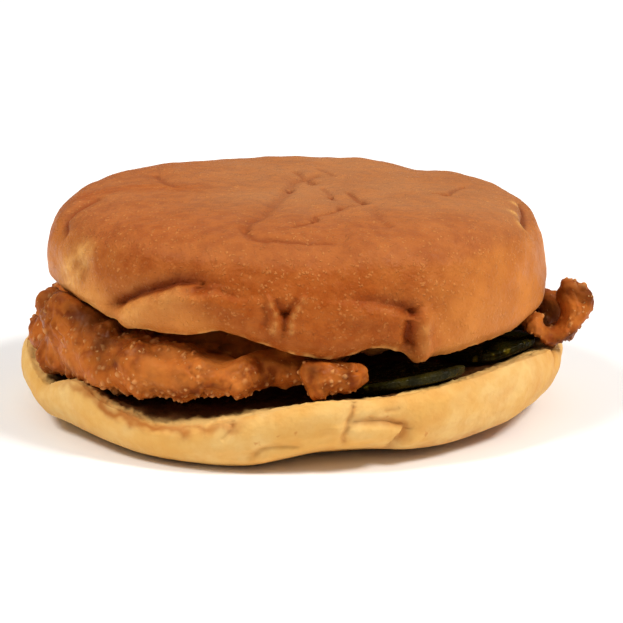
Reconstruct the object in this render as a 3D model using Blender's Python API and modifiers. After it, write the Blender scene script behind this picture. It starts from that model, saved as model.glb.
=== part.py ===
"""A fried chicken burger: a soft bun cut in two, a ragged breaded fillet and two slices of pickle.

Lengths are in metres and azimuths in degrees, counted from +X towards +Y. The burger stands on Z = 0,
and -Y is its front, where the fillet and the pickles show between the halves of the bun.
"""

import math

import bmesh
import bpy
import numpy as np
from mathutils import Vector, noise
from mathutils.bvhtree import BVHTree

# Driving dimensions
TOP_BUN_RADIUS = 0.0537
TOP_BUN_CENTRE = (-0.0034, 0.0)
TOP_BUN_HEIGHT = 0.0466
BOTTOM_BUN_RADIUS = 0.0588
BOTTOM_BUN_CENTRE = (-0.0041, 0.0)
FILLET_CENTRE = (-0.0030, 0.0)
CUT_ABOVE_FILLET = 0.0258
CUT_BELOW_FILLET = 0.0114
PICKLE_THICKNESS = 0.0024
# Where the shapes' own origin lies, so that the middle of the whole burger stands on the world's origin
PLACE = (0.0009, 0.0002, 0.0)
GAP = 0.0006

# Number of faces along an edge of the cube that each round shape starts from
BUN_GRID = 64
LUMP_GRID = 12
PICKLE_GRID = 9

# Triangles that each solid keeps
TOP_BUN_TRIANGLES = 4400
BOTTOM_BUN_TRIANGLES = 3200
FILLET_TRIANGLES = 4700
PICKLE_TRIANGLES = 700

# The bun's outlines from above, as (azimuth, share of the radius)
TOP_BUN_PLAN = [
    (-165, 0.995), (-120, 0.985), (-85, 0.97), (-45, 1.0), (-10, 1.005), (40, 0.97), (95, 0.95), (150, 0.98),
]
BOTTOM_BUN_PLAN = [
    (-175, 1.0), (-135, 0.985), (-100, 0.955), (-60, 0.965), (-15, 0.995), (40, 0.97), (95, 0.945),
    (140, 0.965),
]

# Heights of the cut edges of the two halves, as (azimuth, height)
TOP_BUN_EDGE = [
    (-170, 0.0278), (-152, 0.0286), (-139, 0.0282), (-128, 0.0270), (-117, 0.0262), (-105, 0.0276),
    (-93, 0.0250), (-82, 0.0228), (-70, 0.0243), (-61, 0.0216), (-45, 0.0215), (-20, 0.0226), (10, 0.0235),
    (60, 0.0248), (110, 0.0256), (155, 0.0266),
]
BOTTOM_BUN_EDGE = [
    (-174, 0.0138), (-165, 0.0126), (-158, 0.0110), (-154, 0.0102), (-150, 0.0112), (-146, 0.0130),
    (-138, 0.0137), (-134, 0.0122), (-128, 0.0106), (-118, 0.0089), (-110, 0.0096), (-102, 0.0113),
    (-94, 0.0133), (-84, 0.0150), (-70, 0.0155), (-54, 0.0164), (-38, 0.0171), (-25, 0.0165), (-12, 0.0147),
    (30, 0.0140), (80, 0.0130), (130, 0.0122), (165, 0.0130),
]

# Side profiles of the top half, from the middle of its top down to the cut edge, as (share of radius,
# share of height)
TOP_BUN_LEFT_SIDE = [
    (0.0, 1.0), (0.5, 1.0), (0.75, 0.97), (0.87, 0.90), (0.935, 0.775), (0.972, 0.60), (0.995, 0.40),
    (1.0, 0.22), (0.992, 0.08), (0.965, 0.0),
]
TOP_BUN_RIGHT_SIDE = [
    (0.0, 1.0), (0.5, 1.0), (0.74, 0.975), (0.86, 0.915), (0.93, 0.80), (0.97, 0.63), (0.993, 0.42),
    (1.0, 0.22), (0.99, 0.07), (0.96, 0.0),
]
# Side profile of the bottom half, from the middle of its base up to the cut edge
BOTTOM_BUN_SIDE = [
    (0.0, 0.0), (0.5, 0.0), (0.80, 0.0), (0.885, 0.035), (0.948, 0.17), (0.985, 0.40), (1.0, 0.62),
    (0.998, 0.88), (0.982, 1.0),
]
SIDE_SHARE = 0.62

# Folds pressed into the side of the top half, as (azimuth, height) points, then the fold's width and
# depth and how far the crust below it swells
TOP_BUN_FOLDS = [
    ([(-133, 0.0302), (-131, 0.0314), (-128, 0.0332), (-123, 0.0351), (-117, 0.0370), (-110, 0.0377)],
     0.0013, 0.0018, 0.0013),
    ([(-112, 0.0360), (-110, 0.0366), (-107, 0.0368), (-104, 0.0360), (-102, 0.0357)],
     0.0013, 0.0007, 0.0006),
    ([(-95, 0.0356), (-94, 0.0339), (-93, 0.0323), (-94, 0.0295)], 0.0011, 0.0011, 0.0),
    ([(-89, 0.0357), (-90, 0.0332), (-91, 0.0315), (-91, 0.0288)], 0.0011, 0.0010, 0.0),
    ([(-77, 0.0351), (-73, 0.0345), (-69, 0.0328), (-65, 0.0319), (-64, 0.0306)], 0.0012, 0.0009, 0.0008),
    ([(-64, 0.0322), (-64.5, 0.0282), (-64.5, 0.0258), (-64, 0.0235)], 0.0013, 0.0020, 0.0),
    ([(-149, 0.0368), (-144, 0.0364), (-145, 0.0338)], 0.0020, 0.0007, 0.0),
    ([(160, 0.0370), (145, 0.0350), (130, 0.0355)], 0.0014, 0.0011, 0.0006),
    ([(95, 0.0330), (84, 0.0315), (72, 0.0320)], 0.0013, 0.0011, 0.0008),
    ([(40, 0.0360), (38, 0.0320), (41, 0.0280)], 0.0014, 0.0012, 0.0),
]
# A ridge of pinched crust beside the deep fold at the front right
PINCH = ([(-61, 0.0315), (-61, 0.0280), (-61, 0.0235)], 0.0022, 0.0016)
# Folds across the shoulder of the top half, as (x, y, z) points, then width and depth
SHOULDER_FOLDS = [
    ([(-0.0457, -0.0088, 0.0457), (-0.0486, -0.0120, 0.0449), (-0.0509, -0.0140, 0.0434),
      (-0.0519, -0.0147, 0.0423), (-0.0512, -0.0182, 0.0410)], 0.0018, 0.0013),
    ([(0.0454, -0.0012, 0.0425), (0.0455, -0.0053, 0.0417), (0.0447, -0.0139, 0.0417)], 0.0015, 0.0014),
]
# Shallow dents of the top half, as (x, y, z, radius, depth)
TOP_BUN_DENTS = [
    (0.0250, 0.0320, 0.0448, 0.008, 0.0012), (-0.020, 0.045, 0.0430, 0.010, 0.0010),
    (0.0370, 0.0180, 0.0440, 0.008, -0.0007), (0.0460, 0.0020, 0.0405, 0.006, -0.0006),
]
# The creases across the top, as (x, y) points
TOP_CREASES = [
    [(0.0005, 0.0130), (-0.0025, 0.0090), (-0.0048, -0.0010), (-0.0080, -0.0170), (-0.0108, -0.0298),
     (-0.0131, -0.0350), (-0.0133, -0.0381)],
    [(-0.0133, -0.0381), (-0.0125, -0.0413), (-0.0111, -0.0427), (-0.0072, -0.0434), (-0.0013, -0.0436),
     (0.0038, -0.0429)],
    [(-0.0033, -0.0366), (0.0007, -0.0299), (0.0011, -0.0257), (0.0028, -0.0249), (0.0052, -0.0223),
     (0.0061, -0.0200), (0.0086, -0.0175), (0.0112, -0.0137), (0.0100, -0.0119), (0.0092, -0.0089),
     (0.0078, -0.0044)],
    [(-0.0037, 0.0168), (-0.0014, 0.0109), (0.0001, 0.0053)],
    [(0.0025, -0.0001), (0.0041, -0.0080), (0.0047, -0.0124)],
    [(0.0132, -0.0179), (0.0133, -0.0263), (0.0148, -0.0322), (0.0156, -0.0337)],
    [(0.0259, -0.0035), (0.0280, -0.0040), (0.0286, -0.0052), (0.0303, -0.0009), (0.0328, 0.0033)],
]
CREASE_WIDTH = 0.0012
CREASE_DEPTH = 0.0006

# Folds of the side of the bottom half, as for the top
BOTTOM_BUN_FOLDS = [
    ([(-77, 0.0145), (-78, 0.0118), (-79, 0.0092), (-79, 0.0060)], 0.0010, 0.0011, 0.0),
    ([(-78, 0.0110), (-74, 0.0108), (-69, 0.0101), (-66, 0.0087), (-66, 0.0069), (-67, 0.0045)],
     0.0012, 0.0013, 0.0006),
    ([(-102, 0.0110), (-102, 0.0092), (-104, 0.0075)], 0.0010, 0.0007, 0.0),
    ([(-98, 0.0038), (-96, 0.0055), (-94, 0.0060), (-88, 0.0061)], 0.0010, 0.0006, 0.0004),
    ([(-16, 0.0150), (-19, 0.0120)], 0.0011, 0.0011, 0.0),
    ([(60, 0.0120), (66, 0.0085), (62, 0.0050)], 0.0012, 0.0010, 0.0),
    ([(118, 0.0075), (128, 0.0085), (137, 0.0070)], 0.0012, 0.0009, 0.0006),
    ([(175, 0.0110), (172, 0.0070)], 0.0012, 0.0009, 0.0),
]
# How far the base of the bottom half curls up off the table, as (azimuth, height)
BASE_CURL = [
    (-175, 0.0028), (-150, 0.0016), (-120, 0.0002), (-98, 0.0004), (-82, 0.0036), (-72, 0.0036),
    (-62, 0.0020), (-35, 0.0024), (-12, 0.0032), (30, 0.0014), (90, 0.0), (150, 0.0012),
]

# The fillet's body from above, as (azimuth, radius)
FILLET_PLAN = [
    (-175, 0.0520), (-150, 0.0500), (-125, 0.0450), (-105, 0.0375), (-92, 0.0350), (-80, 0.0380),
    (-66, 0.0290), (-48, 0.0215), (-28, 0.0250), (-8, 0.0390), (20, 0.0440), (60, 0.0430),
    (100, 0.0450), (140, 0.0470),
]
FILLET_SIDE = [
    (0.0, 1.0), (0.55, 1.0), (0.80, 0.96), (0.93, 0.82), (1.0, 0.50), (0.93, 0.18), (0.80, 0.04), (0.55, 0.0),
    (0.0, 0.0),
]
# Lobes of breading that show, as (azimuth, distance out, height) and half sizes (outwards, along, upwards)
FRONT_LOBES = [
    (-160, 0.0522, 0.0255, 0.0056, 0.0070, 0.0045),
    (-153, 0.0520, 0.0234, 0.0070, 0.0078, 0.0074),
    (-169, 0.0528, 0.0178, 0.0064, 0.0080, 0.0050),
    (-157, 0.0538, 0.0143, 0.0054, 0.0056, 0.0042),
    (-146, 0.0505, 0.0196, 0.0074, 0.0080, 0.0074),
    (-147, 0.0512, 0.0148, 0.0056, 0.0062, 0.0043),
    (-138, 0.0500, 0.0178, 0.0080, 0.0080, 0.0066),
    (-127, 0.0492, 0.0184, 0.0085, 0.0092, 0.0064),
    (-116, 0.0484, 0.0180, 0.0083, 0.0095, 0.0052),
    (-107, 0.0480, 0.0178, 0.0070, 0.0062, 0.0044),
    (-101, 0.0488, 0.0182, 0.0048, 0.0042, 0.0037),
    (-97, 0.0455, 0.0190, 0.0046, 0.0040, 0.0040),
    (-92, 0.0415, 0.0190, 0.0060, 0.0060, 0.0042),
    (-84.5, 0.0500, 0.0188, 0.0052, 0.0042, 0.0046),
    (-79.5, 0.0500, 0.0187, 0.0050, 0.0038, 0.0038),
    (-87, 0.0505, 0.0215, 0.0030, 0.0026, 0.0022),
    (-75, 0.0508, 0.0188, 0.0030, 0.0034, 0.0020),
    (-64, 0.0330, 0.0212, 0.0080, 0.0060, 0.0032),
]
# The flap at the right that fried into a curl, as (x, y, z) along it, then half its width along Y and
# half its thickness
FLAP_PATH = [
    (0.0400, 0.0070, 0.0190, 0.0070, 0.0034), (0.0440, 0.0045, 0.0184, 0.0065, 0.0034),
    (0.0470, 0.0025, 0.0180, 0.0050, 0.0033), (0.0490, -0.0050, 0.0168, 0.0060, 0.0018),
    (0.0508, -0.0125, 0.0170, 0.0058, 0.0017), (0.0532, -0.0130, 0.0180, 0.0052, 0.0020),
    (0.0553, -0.0122, 0.0204, 0.0052, 0.0026), (0.0562, -0.0116, 0.0235, 0.0048, 0.0034),
    (0.0555, -0.0110, 0.0262, 0.0042, 0.0033), (0.0542, -0.0106, 0.0281, 0.0034, 0.0023),
]
FLAP_LOBES = [
    (0.0466, -0.0160, 0.0194, 0.0028, 0.0044, 0.0046), (0.0588, -0.0120, 0.0254, 0.0022, 0.0024, 0.0018),
    (0.0512, -0.0034, 0.0192, 0.0044, 0.0017, 0.0060),
    (0.0492, 0.0034, 0.0200, 0.0034, 0.0045, 0.0036), (0.0509, 0.0012, 0.0214, 0.0024, 0.0030, 0.0036),
    (0.0492, -0.0165, 0.0172, 0.0030, 0.0030, 0.0018),
]
BACK_LOBES = 13
LUMP_VOXEL = 0.0012
OVERHANG = 0.0025
PASSES = 2
PARTING_ROUNDS = 12
PARTING_STEP = 0.0002

# Slices of pickle, as (x, y, radius)
PICKLES = [(0.0190, -0.0372, 0.0118), (0.0366, -0.0134, 0.0106)]
PICKLE_SIDE = [
    (0.0, 1.0), (0.6, 1.0), (0.90, 0.98), (0.985, 0.80), (1.0, 0.50), (0.985, 0.20), (0.90, 0.02), (0.6, 0.0),
    (0.0, 0.0),
]


def curve(knots, values, where):
    """A smooth curve through values at knots, read at where."""
    slopes = np.gradient(values, knots, axis=0)
    index = np.clip(np.searchsorted(knots, where, side="right") - 1, 0, len(knots) - 2)
    width = knots[index + 1] - knots[index]
    s = (where - knots[index]) / width
    if values.ndim > 1:
        s, width = s[:, None], width[:, None]
    start = (2 * s**3 - 3 * s**2 + 1) * values[index] + (s**3 - 2 * s**2 + s) * width * slopes[index]
    end = (3 * s**2 - 2 * s**3) * values[index + 1] + (s**3 - s**2) * width * slopes[index + 1]
    return start + end


def around(table, azimuth):
    """A table of (azimuth, value) read all the way round, smoothly."""
    table = sorted(table)
    knots = np.array([a + turn for turn in (-360, 0, 360) for a, _ in table], float)
    values = np.array([value for _ in range(3) for _, value in table])
    return curve(knots, values, azimuth)


def along(profile, share):
    """The point at each share of the length of a profile, as two arrays."""
    points = np.array(profile, float)
    lengths = np.concatenate([[0.0], np.cumsum(np.linalg.norm(np.diff(points, axis=0), axis=1))])
    found = curve(lengths / lengths[-1], points, share)
    return found[:, 0], found[:, 1]


def step(low, high, value):
    """0 below low, 1 above high and smooth between."""
    share = np.clip((value - low) / (high - low), 0.0, 1.0)
    return share * share * (3 - 2 * share)


def lumps(points, size, seed):
    """Smooth noise from about -1 to 1, with lumps of this size."""
    moved = points / size + np.array([17.3, 5.1, 9.7]) * seed
    return np.array([noise.noise(p) for p in moved.tolist()])


def polar(x, y, centre):
    """Azimuth in degrees and distance of a place from a centre."""
    return np.degrees(np.arctan2(y - centre[1], x - centre[0])), np.hypot(x - centre[0], y - centre[1])


def ball(grid):
    """A new bmesh of a cube with this many faces along each edge, blown up to a unit sphere of even faces."""
    bm = bmesh.new()
    bmesh.ops.create_cube(bm, size=2)
    bmesh.ops.subdivide_edges(bm, edges=bm.edges[:], cuts=grid - 1, use_grid_fill=True)
    for v in bm.verts:
        v.co = [math.tan(c * math.pi / 4) for c in v.co]
        v.co.normalize()
    return bm


def shaped(name, grid, shape):
    """A mesh whose points are those of a ball, moved by a function of their directions."""
    mesh = bpy.data.meshes.new(name)
    bm = ball(grid)
    bm.to_mesh(mesh)
    bm.free()
    set_points(mesh, shape(get_points(mesh)))
    return mesh


def get_points(mesh):
    points = np.empty(len(mesh.vertices) * 3, np.float32)
    mesh.vertices.foreach_get("co", points)
    return points.reshape(-1, 3).astype(float)


def set_points(mesh, points):
    mesh.vertices.foreach_set("co", points.astype(np.float32).ravel())
    mesh.update()


def normals(mesh):
    found = np.empty(len(mesh.vertices) * 3, np.float32)
    mesh.vertex_normals.foreach_get("vector", found)
    return found.reshape(-1, 3).astype(float)


def angles(directions):
    """Azimuth in degrees and share of the way from the top of the ball to its bottom."""
    azimuth = np.degrees(np.arctan2(directions[:, 1], directions[:, 0]))
    return azimuth, np.arccos(np.clip(directions[:, 2], -1.0, 1.0)) / math.pi


def top_bun_cut(x, y):
    """Height of the top half's cut face over a place."""
    azimuth, reach = polar(x, y, TOP_BUN_CENTRE)
    share = reach / (TOP_BUN_RADIUS * around(TOP_BUN_PLAN, azimuth))
    middle = CUT_ABOVE_FILLET - 0.030 * x
    return middle + (around(TOP_BUN_EDGE, azimuth) - middle) * step(0.62, 0.96, share)


def bottom_bun_cut(x, y):
    """Height of the bottom half's cut face over a place."""
    azimuth, reach = polar(x, y, BOTTOM_BUN_CENTRE)
    share = reach / (BOTTOM_BUN_RADIUS * around(BOTTOM_BUN_PLAN, azimuth))
    middle = CUT_BELOW_FILLET + 0.045 * x - 0.015 * y
    return middle + (around(BOTTOM_BUN_EDGE, azimuth) - middle) * step(0.80, 0.985, share)


def top_bun_shape(directions):
    azimuth, share = angles(directions)
    side = np.clip(share / SIDE_SHARE, 0.0, 1.0)
    left, left_height = along(TOP_BUN_LEFT_SIDE, side)
    right, right_height = along(TOP_BUN_RIGHT_SIDE, side)
    blend = 0.5 + 0.5 * np.cos(np.radians(azimuth))
    reach = left + (right - left) * blend
    height = left_height + (right_height - left_height) * blend
    under = np.clip((share - SIDE_SHARE) / (1 - SIDE_SHARE), 0.0, 1.0)
    reach = reach * (1 - under)
    radius = TOP_BUN_RADIUS * around(TOP_BUN_PLAN, azimuth) * reach
    x = TOP_BUN_CENTRE[0] + radius * np.cos(np.radians(azimuth))
    y = TOP_BUN_CENTRE[1] + radius * np.sin(np.radians(azimuth))
    low = top_bun_cut(x, y)
    high = TOP_BUN_HEIGHT - 0.012 * (x - TOP_BUN_CENTRE[0])
    return np.column_stack([x, y, low + (high - low) * np.where(under > 0, 0.0, height)])


def bottom_bun_shape(directions):
    azimuth, share = angles(directions)
    share = 1 - share
    side = np.clip(share / SIDE_SHARE, 0.0, 1.0)
    reach, height = along(BOTTOM_BUN_SIDE, side)
    inner = np.clip((share - SIDE_SHARE) / (1 - SIDE_SHARE), 0.0, 1.0)
    reach = reach * (1 - inner)
    radius = BOTTOM_BUN_RADIUS * around(BOTTOM_BUN_PLAN, azimuth) * reach
    x = BOTTOM_BUN_CENTRE[0] + radius * np.cos(np.radians(azimuth))
    y = BOTTOM_BUN_CENTRE[1] + radius * np.sin(np.radians(azimuth))
    base = around(BASE_CURL, azimuth) * step(0.66, 0.95, reach)
    cut = bottom_bun_cut(x, y)
    return np.column_stack([x, y, base + (cut - base) * np.where(inner > 0, 1.0, height)])


def on_side(table, centre, radius):
    """Points (azimuth, height) of a bun's side, as points in space."""
    azimuth, height = np.radians([a for a, _ in table]), np.array([z for _, z in table])
    x, y = centre[0] + radius * np.cos(azimuth), centre[1] + radius * np.sin(azimuth)
    return np.column_stack([x, y, height])


def nearest(points, path, flat=False):
    """Distance of each point from a path of straight runs, and how far above the path it is."""
    measure = np.array([1.0, 1.0, 0.0 if flat else 1.0])
    best = np.full(len(points), 1e9)
    above = np.zeros(len(points))
    for a, b in zip(path[:-1], path[1:]):
        run = (b - a) * measure
        share = np.clip(((points - a) * measure) @ run / (run @ run), 0.0, 1.0)
        offset = (points - a) * measure - share[:, None] * run
        distance = np.linalg.norm(offset, axis=1)
        closer = distance < best
        best[closer] = distance[closer]
        above[closer] = offset[closer, 2]
    return best, above


def fold(points, out, path, width, depth, swelling):
    """Presses a fold into a surface along a path, and swells the crust below it."""
    distance, above = nearest(points, path)
    groove = depth * np.exp(-((distance / width) ** 2))
    lip = swelling * np.exp(-(((distance - 2.2 * width) / (1.8 * width)) ** 2)) * step(0.0, width, -above)
    return points + out * (lip - groove)[:, None]


def top_bun(name):
    mesh = shaped(name, BUN_GRID, top_bun_shape)
    points, out = get_points(mesh), normals(mesh)
    skin = step(-0.2, 0.2, out[:, 2] + 0.6)
    relief = 0.0005 * skin * lumps(points, 0.014, 1) + 0.0003 * skin * lumps(points, 0.006, 2)
    points = points + out * relief[:, None]
    for table, width, depth, swelling in TOP_BUN_FOLDS:
        path = on_side(table, TOP_BUN_CENTRE, 0.985 * TOP_BUN_RADIUS)
        points = fold(points, out * skin[:, None], path, width, depth, swelling)
    table, width, height = PINCH
    distance, _ = nearest(points, on_side(table, TOP_BUN_CENTRE, TOP_BUN_RADIUS))
    points = points + out * skin[:, None] * (height * np.exp(-((distance / width) ** 2)))[:, None]
    for path, width, depth in SHOULDER_FOLDS:
        points = fold(points, out, np.array(path), width, depth, 0.0)
    for x, y, z, radius, depth in TOP_BUN_DENTS:
        distance = np.linalg.norm(points - np.array([x, y, z]), axis=1)
        points = points - out * (depth * np.exp(-((distance / radius) ** 2)))[:, None]
    upper = step(0.3, 0.8, out[:, 2])
    for crease in TOP_CREASES:
        path = np.array([(x, y, 0.0) for x, y in crease])
        distance, _ = nearest(points, path, flat=True)
        points = points - out * (CREASE_DEPTH * upper * np.exp(-((distance / CREASE_WIDTH) ** 2)))[:, None]
    set_points(mesh, points)
    return placed(name, mesh, TOP_BUN_TRIANGLES, (0.50, 0.17, 0.05), 0.55)


def bottom_bun(name):
    mesh = shaped(name, BUN_GRID, bottom_bun_shape)
    points, out = get_points(mesh), normals(mesh)
    azimuth, reach = polar(points[:, 0], points[:, 1], BOTTOM_BUN_CENTRE)
    side = step(0.86, 0.95, reach / (BOTTOM_BUN_RADIUS * around(BOTTOM_BUN_PLAN, azimuth)))
    points = points + out * (0.0005 * side * lumps(points, 0.011, 3))[:, None]
    for table, width, depth, swelling in BOTTOM_BUN_FOLDS:
        path = on_side(table, BOTTOM_BUN_CENTRE, 0.965 * BOTTOM_BUN_RADIUS)
        points = fold(points, out * side[:, None], path, width, depth, swelling)
    points[:, 2] = np.maximum(points[:, 2], 0.0)
    set_points(mesh, points)
    return placed(name, mesh, BOTTOM_BUN_TRIANGLES, (0.80, 0.52, 0.20), 0.65)


def pickle_top(x, y):
    """Height of the pickles' tops over a place, or of the bread where no pickle lies."""
    found = bottom_bun_cut(x, y)
    for cx, cy, radius in PICKLES:
        near = step(radius + 0.0022, radius + 0.0009, np.hypot(x - cx, y - cy))
        found = found + near * (PICKLE_THICKNESS + GAP)
    return found


def pickle(name, centre_x, centre_y, radius):
    def shape(directions):
        azimuth, share = angles(directions)
        reach, height = along(PICKLE_SIDE, share)
        wavy = radius * (1 + 0.02 * np.cos(np.radians(3 * azimuth)))
        x = centre_x + wavy * reach * np.cos(np.radians(azimuth))
        y = centre_y + wavy * reach * np.sin(np.radians(azimuth))
        return np.column_stack([x, y, bottom_bun_cut(x, y) + GAP + PICKLE_THICKNESS * height])

    return placed(name, shaped(name, PICKLE_GRID, shape), PICKLE_TRIANGLES, (0.12, 0.14, 0.02), 0.3)


def fillet_shape(directions):
    azimuth, share = angles(directions)
    reach, height = along(FILLET_SIDE, share)
    radius = around(FILLET_PLAN, azimuth) * reach
    x = FILLET_CENTRE[0] + radius * np.cos(np.radians(azimuth))
    y = FILLET_CENTRE[1] + radius * np.sin(np.radians(azimuth))
    low, high = pickle_top(x, y) + GAP, top_bun_cut(x, y) - GAP
    return np.column_stack([x, y, low + (high - low) * height])


def lobe(centre, halves, azimuth):
    """A mesh of an ellipsoid whose first half size points along an azimuth."""
    turn = math.radians(azimuth)
    across = np.array([[math.cos(turn), -math.sin(turn), 0], [math.sin(turn), math.cos(turn), 0], [0, 0, 1]])
    middle, halves = np.array(centre), np.array(halves)
    return shaped("lobe", LUMP_GRID, lambda directions: (directions * halves) @ across.T + middle)


def ring_lobe(azimuth, reach, height, outwards, along_edge, upwards):
    x = FILLET_CENTRE[0] + reach * math.cos(math.radians(azimuth))
    y = FILLET_CENTRE[1] + reach * math.sin(math.radians(azimuth))
    return lobe((x, y, height), (outwards, along_edge, upwards), azimuth)


def fillet_lobes():
    """Every lobe of the fillet's edge: those at the front, the curled flap, and a ragged back."""
    made = [ring_lobe(*numbers) for numbers in FRONT_LOBES]
    for x, y, z, half_width, half_thickness in FLAP_PATH:
        made.append(lobe((x, y, z), (half_thickness, half_width, half_thickness), 0))
    for x, y, z, *halves in FLAP_LOBES:
        made.append(lobe((x, y, z), halves, 0))
    rng = np.random.default_rng(7)
    for azimuth in np.linspace(8, 168, BACK_LOBES):
        reach = float(around(FILLET_PLAN, np.array([azimuth]))[0]) + rng.uniform(-0.001, 0.0022)
        size = rng.uniform(0.0045, 0.0072)
        height = 0.0188 + rng.uniform(-0.0012, 0.0012)
        turned = azimuth + rng.uniform(-4, 4)
        made.append(ring_lobe(turned, reach, height, size, size * rng.uniform(0.9, 1.4), 0.0052))
    return made


def join(meshes, name):
    """One mesh of several."""
    bm = bmesh.new()
    for mesh in meshes:
        bm.from_mesh(mesh)
        bpy.data.meshes.remove(mesh)
    joined = bpy.data.meshes.new(name)
    bm.to_mesh(joined)
    bm.free()
    return joined


def evaluated(obj):
    """The object's mesh with its modifiers applied."""
    bpy.context.view_layer.update()
    return bpy.data.meshes.new_from_object(obj.evaluated_get(bpy.context.evaluated_depsgraph_get()))


def crags(points, out):
    """Relief of fried breading: rounded lumps with creases between them, and nodules on them."""
    billows = 2 * np.abs(lumps(points, 0.0062, 4)) - 0.5
    nodules = 2 * np.abs(lumps(points, 0.0028, 5)) - 0.5
    return points + out * (0.0007 * lumps(points, 0.011, 6) + 0.0008 * billows + 0.00035 * nodules)[:, None]


def lifted(points):
    """Raises points onto the bread and the pickles below. Past the edge of the bread they may hang down."""
    x, y = points[:, 0], points[:, 1]
    azimuth, reach = polar(x, y, BOTTOM_BUN_CENTRE)
    share = reach / (BOTTOM_BUN_RADIUS * around(BOTTOM_BUN_PLAN, azimuth))
    lowest = pickle_top(x, y) + GAP - OVERHANG * step(1.0, 1.06, share)
    return np.column_stack([x, y, np.maximum(points[:, 2], lowest)])


def clear_of(points, solids):
    """Moves points that lie in a solid, or nearer to it than the gap, out to the gap."""
    moved = points.copy()
    for solid in solids * PASSES:
        for i, point in enumerate(moved.tolist()):
            spot, normal, _, distance = solid.find_nearest(point)
            height = (Vector(point) - spot).dot(normal)
            if height < 0 or distance < GAP:
                moved[i] = spot + normal * GAP
    return moved


def part_from(mesh, solids):
    """Moves the faces that still cut into a solid off it, a little at a time."""
    for solid in solids * PARTING_ROUNDS:
        faces = BVHTree.FromPolygons([v.co for v in mesh.vertices], [f.vertices for f in mesh.polygons])
        crossing = {face for face, _ in faces.overlap(solid)}
        for i in {i for face in crossing for i in mesh.polygons[face].vertices}:
            _, normal, _, _ = solid.find_nearest(mesh.vertices[i].co)
            mesh.vertices[i].co += normal * PARTING_STEP


def fillet(name, neighbours):
    body = shaped("fillet body", BUN_GRID // 2, fillet_shape)
    obj = bpy.data.objects.new(name, join([body] + fillet_lobes(), name))
    bpy.context.scene.collection.objects.link(obj)
    remesh = obj.modifiers.new("Join the lobes", "REMESH")
    remesh.mode = "VOXEL"
    remesh.voxel_size = LUMP_VOXEL
    smooth = obj.modifiers.new("Soften the joins", "SMOOTH")
    smooth.factor = 0.5
    smooth.iterations = 5
    mesh = evaluated(obj)
    bpy.data.objects.remove(obj)
    solids = [BVHTree.FromObject(other, bpy.context.evaluated_depsgraph_get()) for other in neighbours]
    set_points(mesh, clear_of(lifted(crags(get_points(mesh), normals(mesh))), solids))
    obj = placed(name, mesh, FILLET_TRIANGLES, (0.32, 0.09, 0.02), 0.4)
    thinned = evaluated(obj)
    obj.modifiers.clear()
    obj.data = thinned
    set_points(thinned, clear_of(get_points(thinned), solids))
    part_from(thinned, solids)


def food_material(name, colour, roughness):
    material = bpy.data.materials.new(name)
    material.use_nodes = True
    shader = material.node_tree.nodes["Principled BSDF"]
    shader.inputs["Base Color"].default_value = (*colour, 1.0)
    shader.inputs["Roughness"].default_value = roughness
    shader.inputs["Metallic"].default_value = 0.0
    return material


def placed(name, mesh, triangles, colour, roughness):
    """An object of the mesh in the burger's collection, thinned to this many triangles."""
    obj = bpy.data.objects.new(name, mesh)
    obj.location = PLACE
    bpy.data.collections["Chicken burger"].objects.link(obj)
    mesh.shade_smooth()
    mesh.materials.clear()
    mesh.materials.append(food_material(name, colour, roughness))
    mesh.calc_loop_triangles()
    if len(mesh.loop_triangles) > triangles:
        thin = obj.modifiers.new("Thin out", "DECIMATE")
        thin.ratio = triangles / len(mesh.loop_triangles)
    return obj


def main():
    for obj in list(bpy.data.objects):
        bpy.data.objects.remove(obj)
    bpy.context.scene.collection.children.link(bpy.data.collections.new("Chicken burger"))
    neighbours = [bottom_bun("bottom_bun"), top_bun("top_bun")]
    for number, (x, y, radius) in enumerate(PICKLES, 1):
        neighbours.append(pickle(f"pickle_slice_{number}", x, y, radius))
    bpy.context.view_layer.update()
    fillet("chicken_fillet", neighbours)


main()
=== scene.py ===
"""The looks of a fried chicken burger: a glazed bun, a breaded fillet and two slices of pickle.

Lengths are in metres and azimuths in degrees, counted from +X towards +Y. The camera looks along +Y.
"""

import math

import bmesh
import bpy
import numpy as np
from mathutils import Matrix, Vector, noise


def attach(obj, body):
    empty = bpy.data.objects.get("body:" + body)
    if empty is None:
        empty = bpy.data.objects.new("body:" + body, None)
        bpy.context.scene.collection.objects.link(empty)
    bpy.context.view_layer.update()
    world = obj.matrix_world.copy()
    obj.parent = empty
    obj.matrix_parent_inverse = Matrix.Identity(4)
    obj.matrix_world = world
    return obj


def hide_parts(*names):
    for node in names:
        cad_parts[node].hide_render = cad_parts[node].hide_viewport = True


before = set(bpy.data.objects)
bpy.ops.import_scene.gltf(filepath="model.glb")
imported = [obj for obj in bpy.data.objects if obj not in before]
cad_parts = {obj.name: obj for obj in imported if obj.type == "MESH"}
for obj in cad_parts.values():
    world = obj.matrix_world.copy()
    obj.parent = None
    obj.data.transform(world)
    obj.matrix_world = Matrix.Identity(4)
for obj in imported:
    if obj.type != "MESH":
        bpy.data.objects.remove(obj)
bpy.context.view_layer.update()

# The photograph's camera
PHOTO_WIDTH = 623
PIXELS_PER_METRE = 4590
CAMERA_TARGET = Vector((0.0009, 0.0002, 0.0190))
CAMERA_DISTANCE = 0.5
CAMERA_ELEVATION = 15
SENSOR_WIDTH = 36.0
CLIP_START = 0.01

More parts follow.
